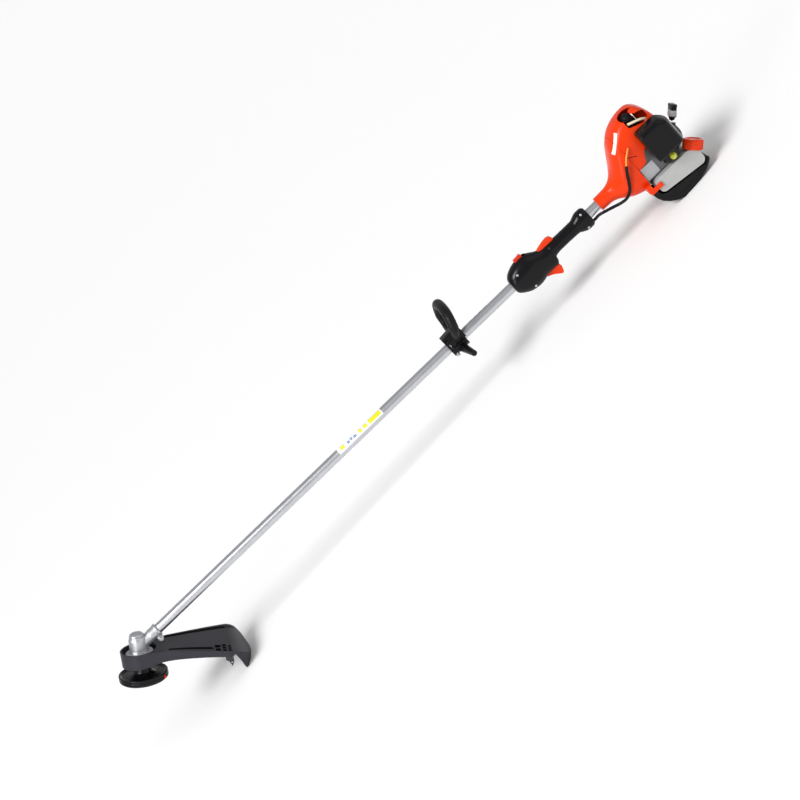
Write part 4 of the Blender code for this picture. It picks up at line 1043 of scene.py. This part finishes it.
def make_fuel_and_air():
    body = box((1668, -49.8, -32), (1702, -36.2, 19))
    throats = [rod((1685, -60, 4), (1685, -42, 4), 7, 40), rod((1685, -60, -22), (1685, -44, -22), 9.2, 40)]
    screws = drills(((1671.5, -28.5), (1698.5, -28.5), (1671.5, 15), (1698.5, 15)), -52, -49, 2.2)
    lands = [box((1666, -51, -9.5), (1704, -48.6, -8))]
    look("carburettor", body, "dark_steel", cut=throats + screws + lands, bevel=0.9)
    bulb = [(0, 63.5), (2.6, 63.3), (5.0, 62.2), (6.9, 60.2), (8.1, 57.6), (8.6, 54.6), (8.6, 50.2),
            (0, 50.2)]
    look("primer_bulb", turned(bulb, at(1685, 0, -22) @ SIDE_DIRECTION, 0.9, 64), "bulb_plastic")
    lever = [(1660, -26), (1666, -26), (1666, -8), (1663, -2), (1660, -4)]
    look("choke_lever", side_prism(rounded(lever, 1.2, 3), -48, -44.5), "black_plastic", bevel=0.6)

    outline = rounded([(1649, -5), (1731, -5), (1731, 64), (1713, 84), (1649, 84)], 9, 8)
    inside = rounded([(1651.6, -2.4), (1728.4, -2.4), (1728.4, 63), (1711.8, 81.4), (1651.6, 81.4)], 7, 8)
    depths = refine([(-51, 1.0, 1690), (-66, 0.985, 1689), (-80, 0.95, 1687), (-88, 0.90, 1685),
                     (-92, 0.82, 1683.5), (-93.5, 0.70, 1683)], 4)
    lip = ((-51, 1.0), (-54, 1.0), (-54.6, 0.985), (-56.0, 0.985), (-56.6, 0.997))
    rings = [scaled(outline, y, share, 1690) for y, share in lip]
    rings += [scaled(outline, *row) for row in depths if row[0] < -57.5]
    hollow = ((-40, 1.0, 1690), (-65, 0.985, 1689), (-78.5, 0.95, 1687), (-86, 0.90, 1685),
              (-89.5, 0.82, 1683.5))
    inner = skin([scaled(inside, *row) for row in hollow])
    look("air_cleaner_cover", skin(rings), "black_plastic", cut=[inner], bevel=0.6, angle=45)

    side = [(1611, -44), (1622, -38), (1716, -38), (1724, -44), (1738, -59), (1738, -80), (1729, -88),
            (1618, -74.5), (1611, -68)]
    lean = Matrix.Rotation(math.radians(CAP_LEAN), 4, "Y")
    place = at(*CAP_CENTRE) @ lean
    neck = peg(17, -20, -6.3, 72, place)
    filler = peg(14.5, -30, 10, 71, place)
    look("fuel_tank", side_prism(rounded(side, 5, 6), -52, 52), "tank_plastic", joined=[neck], cut=[filler],
         bevel=5.0, segments=6, angle=50)
    count = 216
    profile = fillet([(0, 13.2), (15.5, 13.2), (16.5, 15), (20.5, 15), (23.8, 13.2), (24.4, 10.5),
                      (24.4, -9.2), (18.2, -9.2), (18.2, -6), (14, -6), (14, -12), (0, -12)], 1.0, 4)
    rings = []
    for radius, height in profile:
        if radius == 0:
            rings.append([(0.0, 0.0, height)])
            continue
        ring = []
        for k in range(count):
            groove = 0.55 * max(0.0, math.cos(k * math.pi / 3)) if radius > 24 else 0.0
            ring.append((*polar(radius - groove, 2 * math.pi * k / count), height))
        rings.append(ring)
    look("fuel_cap", moved(skin(rings), place), "orange_gloss")

    foot = [(x, ground_height(x)) for x in (1642, 1674)]
    lower = [(1590, -58.5), (1592, -72), (1599, -86), (1610, -98), (1624, -107.5)] + foot
    lower += [(1694, -110.5), (1716, -104.5), (1733, -97), (1743, -89.5), (1746, -83)]
    upper = [(1741, -80), (1740.4, -83), (1731, -91.4), (1616, -77.6), (1606, -70), (1604, -58.5)]
    pocket = [(1595, -50), (1595, -71), (1601.6, -84), (1612, -95.4), (1625.5, -104.3)]
    pocket += [(x, z + 3) for x, z in foot]
    pocket += [(1693, -107.3), (1714.5, -101.4), (1731, -94.2), (1741, -87), (1741, -70), (1650, -40)]
    line = refine([(1600, -72), (1612, -86), (1632, -97), (1660, -101), (1690, -99), (1718, -93.5),
                   (1736, -88)], 6)
    groove = sweep([Vector((x, -55.3, z)) for x, z in line], [0.8] * len(line), 10)
    look("tank_guard", side_prism(rounded(lower + upper, 1.6, 4), -55, 55), "black_plastic",
         cut=[side_prism(pocket, -51.8, 51.8), groove], bevel=1.8, segments=4, angle=50)


def grip_block(rows):
    """The starter grip's rounded block, from heights and the share of its full section at each."""
    section = rounded([(-7, -17), (7, -17), (7, 17), (-7, 17)], 5, 8)
    return skin([[(x * s, y * s, z) for x, y in section] for z, s in rows])


def make_starter():
    case = turned([(0, 1742), (12, 1742), (22, 1736.5), (31, 1724), (35.5, 1708), (35.5, 1687),
                   (32.5, 1687), (32.5, 1707), (28.4, 1722.4), (20.4, 1733.6), (11, 1739), (4, 1739),
                   (4, 1694), (0, 1694)], SHAFT_DIRECTION, 1.6, 96)
    guide = rod((1724, 0, 4), (1739.5, 0, 20), 11.5, 48, 9)
    slots = []
    for k in range(10):
        # The rope's guide takes the place of one slot
        if k != 2:
            turn = Matrix.Rotation(math.radians(36 * k + 18), 4, "X")
            slots.append(moved(box((1712, -2, 22), (1730, 2, 40)), turn))
    look("starter_case", case, "black_plastic", joined=[guide], cut=slots, bevel=0.6, angle=40)
    lean = at(*STARTER_BASE) @ Matrix.Rotation(math.radians(90 - STARTER_LEAN), 4, "Y")
    grip = grip_block(((11, 0.86), (12, 0.95), (14, 0.99), (26, 0.92), (32, 0.95), (38, 1.0), (40, 0.97),
                       (41, 0.88)))
    rope = peg(2.2, 1.5, 12, 24, lean)
    collar = turned([(0, 3.2), (6.0, 3.2), (8.5, 13), (0, 13)], lean, 0.8, 48)
    slot = moved(rod((0, -30, 33.5), (0, 30, 33.5), 2.1, 24), lean)
    look("starter_grip", moved(grip, lean), "black_plastic", joined=[collar, rope], cut=[slot], bevel=0.6)
    band = grip_block(((13.5, 0.985), (14, 1.01), (20, 0.985), (26.5, 0.955), (27, 0.93)))
    look("starter_grip_band", moved(band, lean), "pale_rubber", rides="starter_grip")


make_gear_case()
make_shield()
make_shield_parts()
make_line_head()
make_shaft()
make_loop_handle()
make_throttle_handle()
make_engine_covers()
make_power_unit()
make_fuel_and_air()
make_starter()


def hang(name, kind, place, heading, power, spread):
    """A soft light: a wide sun, its spread in degrees, or a disk, its spread in metres."""
    data = bpy.data.lights.new(name, kind)
    data.energy = power
    if kind == "SUN":
        data.angle = math.radians(spread)
    else:
        data.shape = "DISK"
        data.size = spread
    lamp = add_object(name, data)
    lamp.location = place
    lamp.rotation_mode = "QUATERNION"
    lamp.rotation_quaternion = Vector(heading).to_track_quat("-Z", "Y")


def make_studio():
    """A pale floor, a bright surround, two wide suns and a soft lamp."""
    floor = bpy.data.meshes.new("studio_floor")
    corners = [(-60, -60, 0), (60, -60, 0), (60, 60, 0), (-60, 60, 0)]
    floor.from_pydata(corners, [], [(0, 1, 2, 3)])
    floor_object = add_object("studio_floor", floor)
    floor_object.location.z = -0.0005
    paper = bpy.data.materials.new("studio_paper")
    paper.use_nodes = True
    fill(paper.node_tree.nodes["Principled BSDF"], Base_Color=(0.92, 0.92, 0.92, 1.0), Roughness=0.9)
    floor.materials.append(paper)
    world = bpy.data.worlds.new("studio_sky")
    world.use_nodes = True
    fill(world.node_tree.nodes["Background"], Color=(1.0, 1.0, 1.0, 1.0), Strength=0.45)
    bpy.context.scene.world = world
    hang("key", "SUN", (0, 0, 0), (0.50, 0.52, -0.80), 2.35, 25)
    hang("fill", "SUN", (0, 0, 0), (-0.6, 0.35, -0.5), 0.3, 50)
    hang("left", "AREA", (-2.6, -2.6, 1.4), (2.6, 2.6, -1.25), 28, 1.6)
    bpy.context.scene.view_settings.view_transform = "Standard"


# The camera's pose in the row frame and its lens, in millimetres on a 36 mm sensor
CAMERA_PLACE = (0.27369, -6.18482, 2.39443)
CAMERA_FORWARD = (-0.04207, 0.93961, -0.33965)
CAMERA_UP = (0.73467, 0.25948, 0.62684)
CAMERA_LENS = 127.36


def make_camera():
    data = bpy.data.cameras.new("camera")
    data.sensor_width = 36.0
    data.lens = CAMERA_LENS
    data.clip_end = 200.0
    camera = add_object("camera", data)
    forward = Vector(CAMERA_FORWARD).normalized()
    right = forward.cross(Vector(CAMERA_UP)).normalized()
    up = right.cross(forward)
    pose = Matrix((right, up, -forward)).transposed().to_4x4()
    pose.translation = CAMERA_PLACE
    camera.matrix_world = pose
    bpy.context.scene.camera = camera


make_studio()
make_camera()
